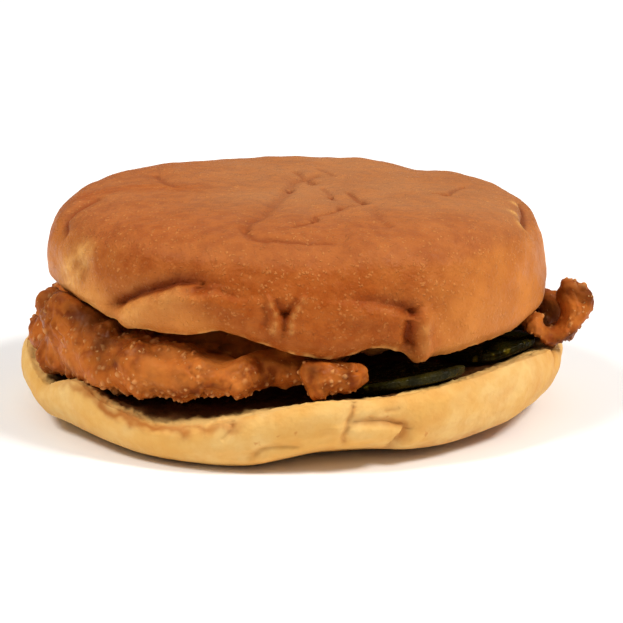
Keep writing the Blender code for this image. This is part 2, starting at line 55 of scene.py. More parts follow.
# Studio: (place, size, power, colour) of each soft light, then the light from all round, overhead and at
# the horizon
LIGHTS = [
    ((-1.50, -0.66, 2.16), 0.62, 42.0, (1.0, 0.97, 0.93)),
    ((1.63, -0.62, 2.02), 0.62, 57.0, (1.0, 0.97, 0.93)),
]
OVERHEAD_LIGHT = 0.66
HORIZON_LIGHT = 0.04
WORLD_COLOUR = (1.0, 1.0, 1.0, 1.0)
FLOOR_COLOUR = (246, 246, 246)
FLOOR_HALF_WIDTH = 4
FLOOR_ROUGHNESS = 0.8

# Driving dimensions of the burger, as the solids have them
PLACE = np.array([0.0009, 0.0002, 0.0])
TOP_BUN_RADIUS = 0.0537
TOP_BUN_CENTRE = (-0.0034, 0.0)
TOP_BUN_HEIGHT = 0.0466
BOTTOM_BUN_RADIUS = 0.0588
BOTTOM_BUN_CENTRE = (-0.0041, 0.0)
TOP_BUN_TILT = 0.012
CUT_ABOVE_FILLET = 0.0258
CUT_ABOVE_SLOPE = -0.030
CUT_BELOW_FILLET = 0.0114
CUT_BELOW_SLOPES = (0.045, -0.015)
PICKLE_THICKNESS = 0.0024
PICKLE_WAVE, PICKLE_WAVES = 0.02, 3
GAP = 0.0006
# Share of the way down a ball that makes a bun's outer face; the rest makes its cut face
SIDE_SHARE = 0.62
# Where a half's cut face turns from its middle to its rim, and where the base curls up, as shares of radius
TOP_BUN_RIM = (0.62, 0.96)
BOTTOM_BUN_RIM = (0.80, 0.985)
BASE_CURL_REACH = (0.66, 0.95)

# How finely the pieces are built
TOP_BUN_GRID = 106
BOTTOM_BUN_GRID = 98
PICKLE_GRID = 40
FRONT_BIAS = 0.22
FINE_REACH = 0.0014
FINE_CUTS = 2
FINE_SIDE = 0.9
FINE_TOP_HEIGHT = 0.040
FILLET_VOXEL = 0.00112
FILLET_EXPOSED_REACH = 0.0465
FILLET_FRONT = 0.010
RIM_REACH = 0.0013

# The bun's outlines from above, as (azimuth, share of the radius)
TOP_BUN_PLAN = [
    (-165, 0.995), (-120, 0.985), (-85, 0.97), (-45, 1.0), (-10, 1.005), (40, 0.97), (95, 0.95),
    (150, 0.98),
]
BOTTOM_BUN_PLAN = [
    (-175, 1.0), (-135, 0.985), (-100, 0.955), (-60, 0.965), (-15, 0.995), (40, 0.97), (95, 0.945),
    (140, 0.965),
]

# Heights of the cut edges of the two halves, as (azimuth, height)
TOP_BUN_EDGE = [
    (-170, 0.0278), (-152, 0.0286), (-139, 0.0282), (-128, 0.0270), (-117, 0.0262), (-105, 0.0276),
    (-93, 0.0250), (-82, 0.0228), (-70, 0.0243), (-61, 0.0216), (-45, 0.0215), (-20, 0.0226), (10, 0.0235),
    (60, 0.0248), (110, 0.0256), (155, 0.0266),
]
BOTTOM_BUN_EDGE = [
    (-174, 0.0138), (-165, 0.0126), (-158, 0.0110), (-154, 0.0102), (-150, 0.0112), (-146, 0.0130),
    (-138, 0.0137), (-134, 0.0122), (-128, 0.0106), (-118, 0.0089), (-110, 0.0096), (-102, 0.0113),
    (-94, 0.0133), (-84, 0.0150), (-70, 0.0155), (-54, 0.0164), (-38, 0.0171), (-25, 0.0165), (-12, 0.0147),
    (30, 0.0140), (80, 0.0130), (130, 0.0122), (165, 0.0130),
]

# Side profiles, as (share of radius, share of height), from the middle of the outer face to the cut edge
TOP_BUN_LEFT_SIDE = [
    (0.0, 1.0), (0.5, 1.0), (0.75, 0.97), (0.87, 0.90), (0.935, 0.775), (0.972, 0.60), (0.995, 0.40),
    (1.0, 0.22), (0.992, 0.08), (0.965, 0.0),
]
TOP_BUN_RIGHT_SIDE = [
    (0.0, 1.0), (0.5, 1.0), (0.74, 0.975), (0.86, 0.915), (0.93, 0.80), (0.97, 0.63), (0.993, 0.42),
    (1.0, 0.22), (0.99, 0.07), (0.96, 0.0),
]
BOTTOM_BUN_SIDE = [
    (0.0, 0.0), (0.5, 0.0), (0.80, 0.0), (0.885, 0.035), (0.948, 0.17), (0.985, 0.40), (1.0, 0.62),
    (0.998, 0.88), (0.982, 1.0),
]
# How far the base curls up, as (azimuth, height)
BASE_CURL = [
    (-175, 0.0028), (-150, 0.0016), (-120, 0.0002), (-98, 0.0004), (-82, 0.0036), (-72, 0.0036),
    (-62, 0.0020), (-35, 0.0024), (-12, 0.0032), (30, 0.0014), (90, 0.0), (150, 0.0012),
]

# Cross-section of a fold, in shares of its width: how far it reaches, and where the crust below it swells
# and how widely. Where it swells, it reaches further above than below.
FOLD_REACH_ABOVE, FOLD_REACH_BELOW = 1.3, 0.8
SWELLING_PLACE, SWELLING_WIDTH = 2.4, 2.0
FOLD_STEEPNESS = 1.5
# How far and how steeply the painted shade in a fold reaches, as a share of its reach, and the depth at which
# it is fully dark
SHADE_REACH, SHADE_STEEPNESS = 0.85, 3
FULLY_DARK_DEPTH = 0.0016
FOLD_END_SHARE = 0.08
# Folds in the side of the top half: (azimuth, height) points, width, depth at both ends (a ridge below 0),
# swelling of the crust below
TOP_BUN_FOLDS = [
    ([(-134, 0.0300), (-131, 0.0316), (-128, 0.0332), (-122, 0.0354), (-118, 0.0369), (-114, 0.0378),
      (-111, 0.0379)], 0.0013, 0.0026, 0.0012, 0.0013),
    ([(-111, 0.0379), (-110, 0.0371), (-112, 0.0362)], 0.0007, 0.0009, 0.0003, 0.0),
    ([(-113, 0.0356), (-110, 0.0366), (-107, 0.0369), (-104, 0.0361), (-101, 0.0356)],
     0.0011, 0.0010, 0.0002, 0.0006),
    ([(-96, 0.0357), (-95.0, 0.0340), (-94.0, 0.0323), (-93.8, 0.0309), (-94.4, 0.0290)],
     0.0006, -0.0006, -0.0012, 0.0),
    ([(-87.2, 0.0360), (-88.8, 0.0342), (-90.1, 0.0323), (-90.4, 0.0309), (-90.5, 0.0290)],
     0.0006, -0.0008, -0.0012, 0.0),
    ([(-94.2, 0.0352), (-93.2, 0.0336), (-92.2, 0.0319)], 0.0009, 0.0004, 0.0014, 0.0),
    ([(-89.2, 0.0352), (-90.6, 0.0336), (-91.6, 0.0319)], 0.0009, 0.0004, 0.0014, 0.0),
    ([(-91.9, 0.0324), (-92.0, 0.0308), (-92.1, 0.0290)], 0.0010, 0.0016, 0.0006, 0.0),
    ([(-96.5, 0.0340), (-95.6, 0.0318), (-96.2, 0.0296)], 0.0012, 0.0004, 0.0006, 0.0),
    ([(-78, 0.0350), (-72, 0.0341), (-67, 0.0329), (-64, 0.0314)], 0.0012, 0.0003, 0.0013, 0.0007),
    ([(-63.6, 0.0322), (-63.2, 0.0304)], 0.0010, 0.0016, 0.0016, 0.0),
    ([(-61, 0.0328), (-63, 0.0308)], 0.0008, 0.0003, 0.0010, 0.0),
    ([(-64, 0.0300), (-64.5, 0.0282), (-64.5, 0.0258), (-64, 0.0240)], 0.0014, 0.0012, 0.0026, 0.0),
    ([(-149, 0.0368), (-144, 0.0364), (-145, 0.0338)], 0.0020, 0.0007, 0.0007, 0.0),
    ([(160, 0.0370), (145, 0.0350), (130, 0.0355)], 0.0012, 0.0013, 0.0008, 0.0006),
    ([(95, 0.0330), (84, 0.0315), (72, 0.0320)], 0.0011, 0.0012, 0.0009, 0.0008),
    ([(40, 0.0360), (38, 0.0320), (41, 0.0280)], 0.0012, 0.0012, 0.0009, 0.0),
]
# A ridge beside them: (azimuth, height) points, width and height
PINCH = ([(-62, 0.0300), (-61.5, 0.0262), (-61, 0.0228)], 0.0020, 0.0019)
# Folds across the shoulder: (x, y, z) points, width and depth
SHOULDER_FOLDS = [
    ([(-0.0457, -0.0088, 0.0457), (-0.0486, -0.0120, 0.0449), (-0.0509, -0.0140, 0.0434),
      (-0.0519, -0.0147, 0.0423), (-0.0512, -0.0182, 0.0410)], 0.0017, 0.0015),
    ([(0.0454, -0.0012, 0.0425), (0.0455, -0.0053, 0.0417), (0.0447, -0.0139, 0.0417)], 0.0013, 0.0016),
]
# Shallow dents: (x, y, z, radius, depth)
TOP_BUN_DENTS = [
    (0.0250, 0.0320, 0.0448, 0.008, 0.0012), (-0.020, 0.045, 0.0430, 0.010, 0.0010),
    (0.0370, 0.0180, 0.0440, 0.008, -0.0007), (0.0460, 0.0020, 0.0405, 0.006, -0.0006),
]
# Creases across the top: (x, y) points, width, depth, darkness of their painted shade
TOP_CREASES = [
    ([(0.0005, 0.0130), (-0.0025, 0.0090), (-0.0048, -0.0010), (-0.0080, -0.0170), (-0.0108, -0.0298),
      (-0.0131, -0.0350), (-0.0133, -0.0381)], 0.0016, 0.0008, 0.38),
    ([(-0.0133, -0.0375), (-0.0130, -0.0400), (-0.0111, -0.0427), (-0.0072, -0.0434), (-0.0013, -0.0436),
      (0.0038, -0.0429)], 0.0009, 0.0006, 0.5),
    ([(-0.0033, -0.0366), (0.0007, -0.0299), (0.0011, -0.0257), (0.0028, -0.0249), (0.0052, -0.0223),
      (0.0061, -0.0200), (0.0086, -0.0175), (0.0112, -0.0137), (0.0100, -0.0119), (0.0092, -0.0089),
      (0.0078, -0.0044)], 0.0007, 0.0006, 0.6),
    ([(-0.0037, 0.0168), (-0.0014, 0.0109), (0.0001, 0.0053)], 0.0008, 0.0006, 0.5),
    ([(0.0025, -0.0001), (0.0041, -0.0080), (0.0047, -0.0124)], 0.0007, 0.0004, 0.35),
    ([(0.0132, -0.0179), (0.0133, -0.0263), (0.0148, -0.0322), (0.0156, -0.0337)], 0.0009, 0.0004, 0.25),
    ([(0.0259, -0.0035), (0.0280, -0.0040), (0.0286, -0.0052), (0.0303, -0.0009),
      (0.0328, 0.0033)], 0.0008, 0.0006, 0.5),
    ([(0.0017, 0.0207), (0.0050, 0.0126)], 0.0008, 0.0004, 0.3),
    ([(-0.0345, 0.0128), (-0.0318, 0.0049), (-0.0290, -0.0004)], 0.0009, 0.0005, 0.5),
]
# Where the creases open into small pits, which get a painted shade: (x, y, radius, depth)
TOP_PITS = [
    (-0.0048, -0.0010, 0.0015, 0.0007), (0.0001, 0.0053, 0.0016, 0.0007), (0.0041, -0.0085, 0.0013, 0.0006),
    (0.0006, -0.0295, 0.0013, 0.0007), (0.0061, -0.0200, 0.0012, 0.0006), (0.0106, -0.0128, 0.0016, 0.0008),
    (0.0285, -0.0050, 0.0012, 0.0006),
]
# How golden the crust of the top half is, as (azimuth, high on its side, at its rim)
TOP_BUN_TAN = [
    (-175, 0.55, 1.0), (-150, 0.40, 1.0), (-132, 0.15, 1.0), (-115, 0.0, 0.75), (-100, 0.0, 0.3),
    (-80, 0.0, 0.15), (-66, 0.3, 0.35), (-50, 0.65, 0.75), (-30, 0.75, 0.9), (0, 0.7, 0.85),
    (40, 0.4, 0.7), (90, 0.2, 0.6), (140, 0.4, 0.7),
]
# Paler spots of the top half: pale patches of the crust, and painted highlights on the lip below the long
# fold, on the ridges of the forked fold and on the pinch: (x, y, z, radius, share)
TOP_BUN_PALE = [
    (-0.0462, -0.0294, 0.0386, 0.0028, 0.9), (-0.0490, -0.0275, 0.0360, 0.0040, 0.5),
    (-0.0500, -0.0250, 0.0320, 0.0050, 0.7), (-0.0430, -0.0320, 0.0300, 0.0045, 0.5),
    (0.0433, -0.0030, 0.0436, 0.0011, 0.9), (0.0425, -0.0120, 0.0436, 0.0013, 0.9),
    (0.0440, -0.0160, 0.0420, 0.0014, 1.0), (0.0330, -0.0425, 0.0232, 0.0030, 0.4),
    (-0.0350, -0.0410, 0.0290, 0.0022, 0.6), (-0.0345, -0.0442, 0.0325, 0.0042, 0.35),
    (-0.0285, -0.0478, 0.0345, 0.0040, 0.35),
    (-0.0078, -0.0517, 0.0340, 0.0006, 0.3), (-0.0070, -0.0519, 0.0323, 0.0006, 0.4),
    (-0.0069, -0.0520, 0.0306, 0.0006, 0.5), (-0.0074, -0.0520, 0.0292, 0.0007, 0.5),
    (-0.0014, -0.0518, 0.0352, 0.0006, 0.5), (-0.0026, -0.0519, 0.0336, 0.0006, 0.4),
    (-0.0036, -0.0520, 0.0320, 0.0006, 0.4), (-0.0039, -0.0520, 0.0304, 0.0006, 0.5),
    (-0.0039, -0.0520, 0.0290, 0.0006, 0.4), (0.0218, -0.0465, 0.0280, 0.0011, 0.35),
    (0.0220, -0.0464, 0.0252, 0.0011, 0.3),
]
# Redder streak across the upper left: (x, y, z) points and width
TOP_BUN_STREAK = (
    [(-0.0480, -0.0040, 0.0452), (-0.0367, -0.0017, 0.0470), (-0.0270, -0.0020, 0.0470)], 0.0040,
)
# Relief of the surfaces, as (height, size of the lumps, seed) of each of its layers
TOP_BUN_SKIN = [(0.0005, 0.014, 1), (0.0003, 0.006, 2), (0.00009, 0.0028, 3), (0.00005, 0.0016, 23)]
TOP_BUN_CRUMB = [(0.0003, 0.003, 8), (0.0002, 0.0014, 9)]
BOTTOM_BUN_SKIN = [(0.0005, 0.011, 3), (0.00014, 0.004, 4)]
BOTTOM_BUN_CRUMB = [(0.00035, 0.003, 8), (0.00035, 0.0014, 9), (0.0002, 0.0007, 10)]
RAGGED_RIM = [(0.0015, 0.004, 14), (0.0008, 0.0015, 15)]
# How far folds and creases stray from their paths, the size of the bends and a seed for each direction
STRAYING, STRAYING_SIZE, STRAYING_SEEDS = 0.0003, 0.0022, (21, 22)

# How softly crumb begins past a half's side and how wide its torn rim is, as shares of the way down its
# ball, and how much of the crumb's relief the torn rim has
TOP_CRUMB_START, TOP_TORN_WIDTH, TOP_TORN_RELIEF = 0.02, 0.012, 0.6
BOTTOM_CRUMB_START, BOTTOM_TORN_WIDTH, BOTTOM_TORN_RELIEF = 0.03, 0.02, 0.5
# Between which shares of the radius the relief of a bun's side begins
TOP_BUN_SIDE_REACH = (0.80, 0.92)
BOTTOM_BUN_SIDE_REACH = (0.86, 0.95)
# Between which upward slopes of the surface the top begins, for its creases, its tan and the painted sheen on
# it
CREASED_SLOPES, TAN_SLOPES, BAKED_SLOPES = (0.3, 0.8), (0.35, 0.85), (0.25, 0.85)
# Darkness and width of the shade in shoulder folds and creases, as shares of theirs
SHOULDER_DARKNESS, SHOULDER_SHADE, CREASE_SHADE = 0.9, 0.7, 0.8
# Size of a pit's two half axes, as shares of its radius
PIT_ACROSS, PIT_ALONG = 0.55, 1.1
# How much more than folds the creases and the streak stray
CREASE_STRAYING, STREAK_STRAYING = 1.5, 3
# Colour of the top half: heights between which its tan turns from rim to high, tan lost on top, strength of
# the streak, and fades of the painted sheen on top as (axis, start, end, share lost)
TAN_HEIGHTS, TOP_TAN_LOSS, STREAK_STRENGTH = (0.027, 0.039), 0.85, 0.8
BAKED_FADES = [(0, -0.010, -0.035, 0.5), (1, -0.012, -0.035, 0.6)]
# Pale flakes of the torn rim: share, range of the lumps that make them, size and seed
FLAKE_SHARE, FLAKE_RANGE, FLAKES = 0.8, (0.0, 0.3), (0.0022, 24)
# Wrinkles round the bottom half: their layer, how far they are drawn out, and the patches that have them
WRINKLES, WRINKLE_SQUEEZE = [(0.00012, 0.0016, 12)], 0.3
WRINKLE_RANGE, WRINKLE_PATCHES = (-0.1, 0.3), (0.009, 13)
# Grease at the rim of the bottom half: how far below it, how widely, and from which shares of the radius
GREASE_DEPTH, GREASE_WIDTH, GREASE_REACH = 0.0006, 0.0011, (0.9, 0.97)
# Darker crumb under the fillet, partly soaked and partly painted shade: share of the radius its depth is
# counted from, and how softly it begins
SOAKED_FROM, SOAKED_SOFTNESS = 0.97, 0.003
# Toast: the heights between which it fades, and the least share that is left higher up
TOAST_HEIGHTS, TOAST_LEAST = (0.0075, 0.0015), 0.3

# Breading: rounds of smoothing before and after the open edge is cut finer
FILLET_SMOOTHING = (3, 6)
# Its crags: height, size and seed, how round their creases are, and how far they are lowered
CRAG_HEIGHT, CRAGS, CRAG_ROUNDING, CRAG_LOWERING = 0.0009, (0.0058, 4), 0.006, 0.6
# Its lumps and grain: height where the breading is smooth and rough, then size and seed
LUMP_HEIGHTS, LUMPS, LUMP_LOWERING = (0.00010, 0.00055), (0.0026, 5), 0.5
GRAIN_HEIGHTS, GRAIN = (0.00003, 0.00015), (0.0010, 6)
ROUGH_RANGE, ROUGH_PATCHES = (-0.15, 0.30), (0.008, 7)
# Its nodules: height, spacing and seed of both kinds, then the patches and the underside that have them
NODULE_HEIGHT, NODULES = 0.00050, [(0.0018, 3), (0.0012, 5)]
NODULE_RANGE, NODULE_PATCHES, UNDERSIDE_SLOPES, UNDERSIDE_SHARE = (-0.05, 0.3), (0.006, 8), (0.0, -0.6), 0.9
# Size of a nodule against their spacing, how much it varies, and the noise scales of size and place
NODULE_SIZE, NODULE_SIZE_RANGE, NODULE_SIZE_NOISE, NODULE_PLACE_NOISE = 0.30, 0.20, 7.3, 3.1
# Its hollows, which get a painted shade: rounds of evening out, and the depth that counts as a full one
HOLLOW_ROUNDS, HOLLOW_DEPTH = 14, 0.0004
# Distance from the middle at which the azimuths of the fillet's spots are turned into lengths
FILLET_REACH = 0.053
# Where the open edge of the breading is darker, or lighter below 0: its own darker and paler patches, painted
# shade in creases, recesses and under the bun, and painted light on shaded lobes, as (azimuth, height,
# radius, strength)
FILLET_TONES = [
    (-158, 0.0290, 0.0034, 0.7), (-157, 0.0240, 0.0026, 0.3), (-147, 0.0275, 0.0030, 0.8),
    (-143, 0.0260, 0.0034, 0.8), (-137, 0.0245, 0.0034, 0.6), (-129, 0.0250, 0.0026, 0.4),
    (-138, 0.0225, 0.0016, 0.4), (-137, 0.0200, 0.0015, 0.4), (-136, 0.0180, 0.0015, 0.4),
    (-156, 0.0110, 0.0024, 1.0), (-149, 0.0225, 0.0036, -0.3), (-146, 0.0165, 0.0030, -0.6),
    (-155, 0.0175, 0.0026, -0.5), (-144, 0.0205, 0.0018, -0.5), (-137, 0.0145, 0.0026, -0.6),
    (-124, 0.0165, 0.0034, -0.6), (-129, 0.0230, 0.0020, -0.3), (-124, 0.0200, 0.0022, -0.5),
    (-117, 0.0185, 0.0024, -0.6), (-112, 0.0205, 0.0020, -0.5), (-106, 0.0180, 0.0024, -0.6),
    (-107, 0.0205, 0.0018, -0.4), (-110, 0.0180, 0.0012, 0.6), (-122, 0.0230, 0.0034, -0.8),
    (-113, 0.0240, 0.0034, -0.7), (-115, 0.0155, 0.0012, 0.7), (-133, 0.0200, 0.0012, 0.5),
    (-101, 0.0180, 0.0018, 0.6), (-99, 0.0240, 0.0030, 0.5), (-90, 0.0215, 0.0014, 0.5),
    (-86, 0.0205, 0.0016, -0.3), (-82, 0.0205, 0.0012, 0.6), (-78, 0.0190, 0.0016, 0.5),
    (-87, 0.0175, 0.0014, 0.4), (-90, 0.0230, 0.0026, 0.4), (-70, 0.0210, 0.0050, -0.6),
    (-22, 0.0215, 0.0034, -0.5), (-22, 0.0180, 0.0026, -0.4), (-18, 0.0150, 0.0040, 0.5),
    (-16.5, 0.0230, 0.0022, -0.5), (-17, 0.0200, 0.0020, -0.4), (-16, 0.0180, 0.0018, 0.8),
    (-13, 0.0260, 0.0034, 0.5), (-14, 0.0270, 0.0020, 0.4), (-13, 0.0170, 0.0040, 0.3),
    (-4, 0.0190, 0.0048, 1.2),
]
# How toasted the lower edge of the bottom half is, as (azimuth, share)
BOTTOM_BUN_TOAST = [
    (-170, 0.1), (-130, 0.15), (-100, 0.15), (-75, 0.4), (-50, 0.9), (-25, 1.0), (10, 0.8), (70, 0.4),
    (130, 0.4),
]
# How greasy the rim of the bottom half is, as (azimuth, share)
BOTTOM_BUN_GREASE = [
    (-170, 0.0), (-148, 0.1), (-136, 0.9), (-120, 1.0), (-104, 0.8), (-92, 0.2), (-70, 0.15),
    (-40, 0.0), (20, 0.2), (90, 0.5), (150, 0.4),
]
# How far the lighter dry crumb reaches in from the rim of the bottom half before the darker crumb, soaked and
# in painted shade, begins, as (azimuth, length)
BOTTOM_BUN_DRY = [
    (-170, 0.002), (-150, 0.001), (-140, 0.0015), (-128, 0.0015), (-118, 0.002), (-110, 0.004), (-102, 0.006),
    (-92, 0.007), (-84, 0.003), (-70, 0.0018), (-55, 0.002), (-42, 0.007), (-28, 0.006), (-12, 0.002),
    (30, 0.004), (90, 0.004), (150, 0.003),
]
# Folds in the side of the bottom half, as for the top
BOTTOM_BUN_FOLDS = [
    ([(-77, 0.0150), (-78, 0.0118), (-79, 0.0092), (-79, 0.0060)], 0.0007, 0.0010, 0.0008, 0.0),
    ([(-78, 0.0110), (-74, 0.0108), (-69, 0.0101), (-66, 0.0087), (-66, 0.0069), (-67, 0.0045)],
     0.0010, 0.0009, 0.0014, 0.0006),
    ([(-102, 0.0110), (-102, 0.0092), (-104, 0.0075)], 0.0008, 0.0009, 0.0003, 0.0),
    ([(-98, 0.0038), (-96, 0.0055), (-94, 0.0060), (-88, 0.0061)], 0.0008, 0.0006, 0.0003, 0.0004),
    ([(-74, 0.0119), (-73, 0.0116)], 0.0006, 0.0006, 0.0003, 0.0),
    ([(-71, 0.0129), (-67.5, 0.0132)], 0.0007, 0.0006, 0.0003, 0.0),
    ([(-67.5, 0.0055), (-67.5, 0.0030)], 0.0007, 0.0012, 0.0012, 0.0),
    ([(-16, 0.0150), (-19, 0.0120)], 0.0009, 0.0012, 0.0005, 0.0),
    ([(60, 0.0120), (66, 0.0085), (62, 0.0050)], 0.0010, 0.0010, 0.0006, 0.0),
    ([(118, 0.0075), (128, 0.0085), (137, 0.0070)], 0.0010, 0.0009, 0.0006, 0.0006),
    ([(175, 0.0110), (172, 0.0070)], 0.0010, 0.0009, 0.0005, 0.0),
]

# Slices of pickle, as (x, y, radius)
PICKLES = [(0.0190, -0.0372, 0.0118), (0.0366, -0.0134, 0.0106)]
PICKLE_SIDE = [
    (0.0, 1.0), (0.6, 1.0), (0.90, 0.98), (0.985, 0.80), (1.0, 0.50), (0.985, 0.20), (0.90, 0.02), (0.6, 0.0),
    (0.0, 0.0),
]


# Reading tables and profiles

# How far the noise moves on with each seed
SEED_SHIFT = (17.3, 5.1, 9.7)


def curve(knots, values, where):
    """A smooth curve through values at knots, read at where."""
    slopes = np.gradient(values, knots, axis=0)
    index = np.clip(np.searchsorted(knots, where, side="right") - 1, 0, len(knots) - 2)
    width = knots[index + 1] - knots[index]
    s = (where - knots[index]) / width
    if values.ndim > 1:
        s, width = s[:, None], width[:, None]
    start = (2 * s**3 - 3 * s**2 + 1) * values[index] + (s**3 - 2 * s**2 + s) * width * slopes[index]
    end = (3 * s**2 - 2 * s**3) * values[index + 1] + (s**3 - s**2) * width * slopes[index + 1]
    return start + end


def around(table, azimuth):
    """A table of (azimuth, value) read all the way round, smoothly."""
    table = sorted(table)
    knots = np.array([a + turn for turn in (-360, 0, 360) for a, _ in table], float)
    values = np.array([value for _ in range(3) for _, value in table])
    return curve(knots, values, azimuth)


def along(profile, share):
    """The point at each share of the length of a path, one row each."""
    points = np.array(profile, float)
    lengths = np.concatenate([[0.0], np.cumsum(np.linalg.norm(np.diff(points, axis=0), axis=1))])
    return curve(lengths / lengths[-1], points, share)


def step(low, high, value):
    """0 below low, 1 above high and smooth between."""
    share = np.clip((value - low) / (high - low), 0.0, 1.0)
    return share * share * (3 - 2 * share)


def falloff(distance, width, steepness=2):
    """1 at no distance, falling smoothly to 0 past the width."""
    return np.exp(-((distance / width) ** steepness))


def lumps(points, size, seed):
    """Smooth noise from about -1 to 1, with lumps of this size."""
    moved = points / size + np.array(SEED_SHIFT) * seed
    return np.array([noise.noise(p) for p in moved.tolist()])


def relief(points, layers):
    """The sum of layers of lumps, given as (height, size, seed)."""
    return sum(height * lumps(points, size, seed) for height, size, seed in layers)


def straying(points):
    """Small shifts in two directions, which keep folds and creases from running smoothly."""
    return np.column_stack([STRAYING * lumps(points, STRAYING_SIZE, seed) for seed in STRAYING_SEEDS])


def polar(x, y, centre):
    """Azimuth in degrees and distance of a place from a centre."""
    return np.degrees(np.arctan2(y - centre[1], x - centre[0])), np.hypot(x - centre[0], y - centre[1])


def place_at(centre, radius, azimuth):
    """x and y at an azimuth in degrees and a distance from a centre."""
    turn = np.radians(azimuth)
    return centre[0] + radius * np.cos(turn), centre[1] + radius * np.sin(turn)


# Meshes

def get_points(mesh):
    points = np.empty(len(mesh.vertices) * 3, np.float32)
    mesh.vertices.foreach_get("co", points)
    return points.reshape(-1, 3).astype(float)


def set_points(mesh, points):
    mesh.vertices.foreach_set("co", points.astype(np.float32).ravel())
    mesh.update()


def normals(mesh):
    found = np.empty(len(mesh.vertices) * 3, np.float32)
    mesh.vertex_normals.foreach_get("vector", found)
    return found.reshape(-1, 3).astype(float)


def mark(mesh, name, values):
    """Keeps a value for each point of a mesh, for its material."""
    mesh.attributes.new(name, "FLOAT", "POINT").data.foreach_set("value", values.astype(np.float32))


def ball(grid):
    """A new bmesh of a unit sphere of even faces, a little denser towards the camera."""
    bm = bmesh.new()
    bmesh.ops.create_cube(bm, size=2)
    bmesh.ops.subdivide_edges(bm, edges=bm.edges[:], cuts=grid - 1, use_grid_fill=True)
    for v in bm.verts:
        v.co = [math.tan(c * math.pi / 4) for c in v.co]
        v.co.normalize()
        v.co.y -= FRONT_BIAS
        v.co.normalize()
    return bm


def subdivide(bm, chosen, cuts):
    """Cuts the faces between the chosen points smaller."""
    edges = [e for e in bm.edges if chosen[e.verts[0].index] and chosen[e.verts[1].index]]
    bmesh.ops.subdivide_edges(bm, edges=edges, cuts=cuts, use_grid_fill=True)


def shaped(name, grid, shape, is_fine=None):
    """A mesh whose points are those of a ball, moved by a function of their directions, and those directions.

    The faces whose points are fine are cut smaller.
    """
    bm = ball(grid)
    if is_fine:
        subdivide(bm, is_fine(shape(np.array([v.co[:] for v in bm.verts]))), FINE_CUTS)
        for v in bm.verts:
            v.co.normalize()
    mesh = bpy.data.meshes.new(name)
    bm.to_mesh(mesh)
    bm.free()
    directions = get_points(mesh)
    set_points(mesh, shape(directions))
    return mesh, directions


def neighbour_mean(mesh, values, rounds):
    """Values of a mesh's points, each evened out with its neighbours' a number of times."""
    edges = np.empty(len(mesh.edges) * 2, np.int32)
    mesh.edges.foreach_get("vertices", edges)
    a, b = edges.reshape(-1, 2).T
    count = np.bincount(a, minlength=len(values)) + np.bincount(b, minlength=len(values))
    for _ in range(rounds):
        total = np.zeros_like(values)
        for column in range(values.shape[1]):
            total[:, column] += np.bincount(a, values[b, column], len(values))
            total[:, column] += np.bincount(b, values[a, column], len(values))
        values = 0.5 * values + 0.5 * total / count[:, None]
    return values


def hollows(mesh, rounds):
    """How far each point of a mesh lies below the surface evened out around it."""
    points = get_points(mesh)
    return ((neighbour_mean(mesh, points, rounds) - points) * normals(mesh)).sum(axis=1)


def evaluated(obj):
    """The object's mesh with its modifiers applied."""
    bpy.context.view_layer.update()
    return bpy.data.meshes.new_from_object(obj.evaluated_get(bpy.context.evaluated_depsgraph_get()))


def spots(points, table):
    """The sum of soft round spots (place, radius, strength) at each point."""
    total = np.zeros(len(points))
    for *place, radius, strength in table:
        total += strength * falloff(np.linalg.norm(points - np.array(place), axis=1), radius)
    return total


# The two halves of the bun

def angles(directions):
    """Azimuth in degrees and share of the way from the top of the ball to its bottom."""
    azimuth = np.degrees(np.arctan2(directions[:, 1], directions[:, 0]))
    return azimuth, np.arccos(np.clip(directions[:, 2], -1.0, 1.0)) / math.pi


def top_bun_cut(x, y):
    """Height of the top half's cut face over a place."""
    azimuth, reach = polar(x, y, TOP_BUN_CENTRE)
    share = reach / (TOP_BUN_RADIUS * around(TOP_BUN_PLAN, azimuth))
    middle = CUT_ABOVE_FILLET + CUT_ABOVE_SLOPE * x
    return middle + (around(TOP_BUN_EDGE, azimuth) - middle) * step(*TOP_BUN_RIM, share)


def bottom_bun_cut(x, y):
    """Height of the bottom half's cut face over a place."""
    azimuth, reach = polar(x, y, BOTTOM_BUN_CENTRE)
    share = reach / (BOTTOM_BUN_RADIUS * around(BOTTOM_BUN_PLAN, azimuth))
    middle = CUT_BELOW_FILLET + CUT_BELOW_SLOPES[0] * x + CUT_BELOW_SLOPES[1] * y
    return middle + (around(BOTTOM_BUN_EDGE, azimuth) - middle) * step(*BOTTOM_BUN_RIM, share)


def top_bun_shape(directions):
    azimuth, share = angles(directions)
    side = np.clip(share / SIDE_SHARE, 0.0, 1.0)
    blend = (0.5 + 0.5 * np.cos(np.radians(azimuth)))[:, None]
    left, right = along(TOP_BUN_LEFT_SIDE, side), along(TOP_BUN_RIGHT_SIDE, side)
    reach, height = (left + (right - left) * blend).T
    under = np.clip((share - SIDE_SHARE) / (1 - SIDE_SHARE), 0.0, 1.0)
    radius = TOP_BUN_RADIUS * around(TOP_BUN_PLAN, azimuth) * reach * (1 - under)
    x, y = place_at(TOP_BUN_CENTRE, radius, azimuth)
    low = top_bun_cut(x, y)
    high = TOP_BUN_HEIGHT - TOP_BUN_TILT * (x - TOP_BUN_CENTRE[0])
    return np.column_stack([x, y, low + (high - low) * np.where(under > 0, 0.0, height)])


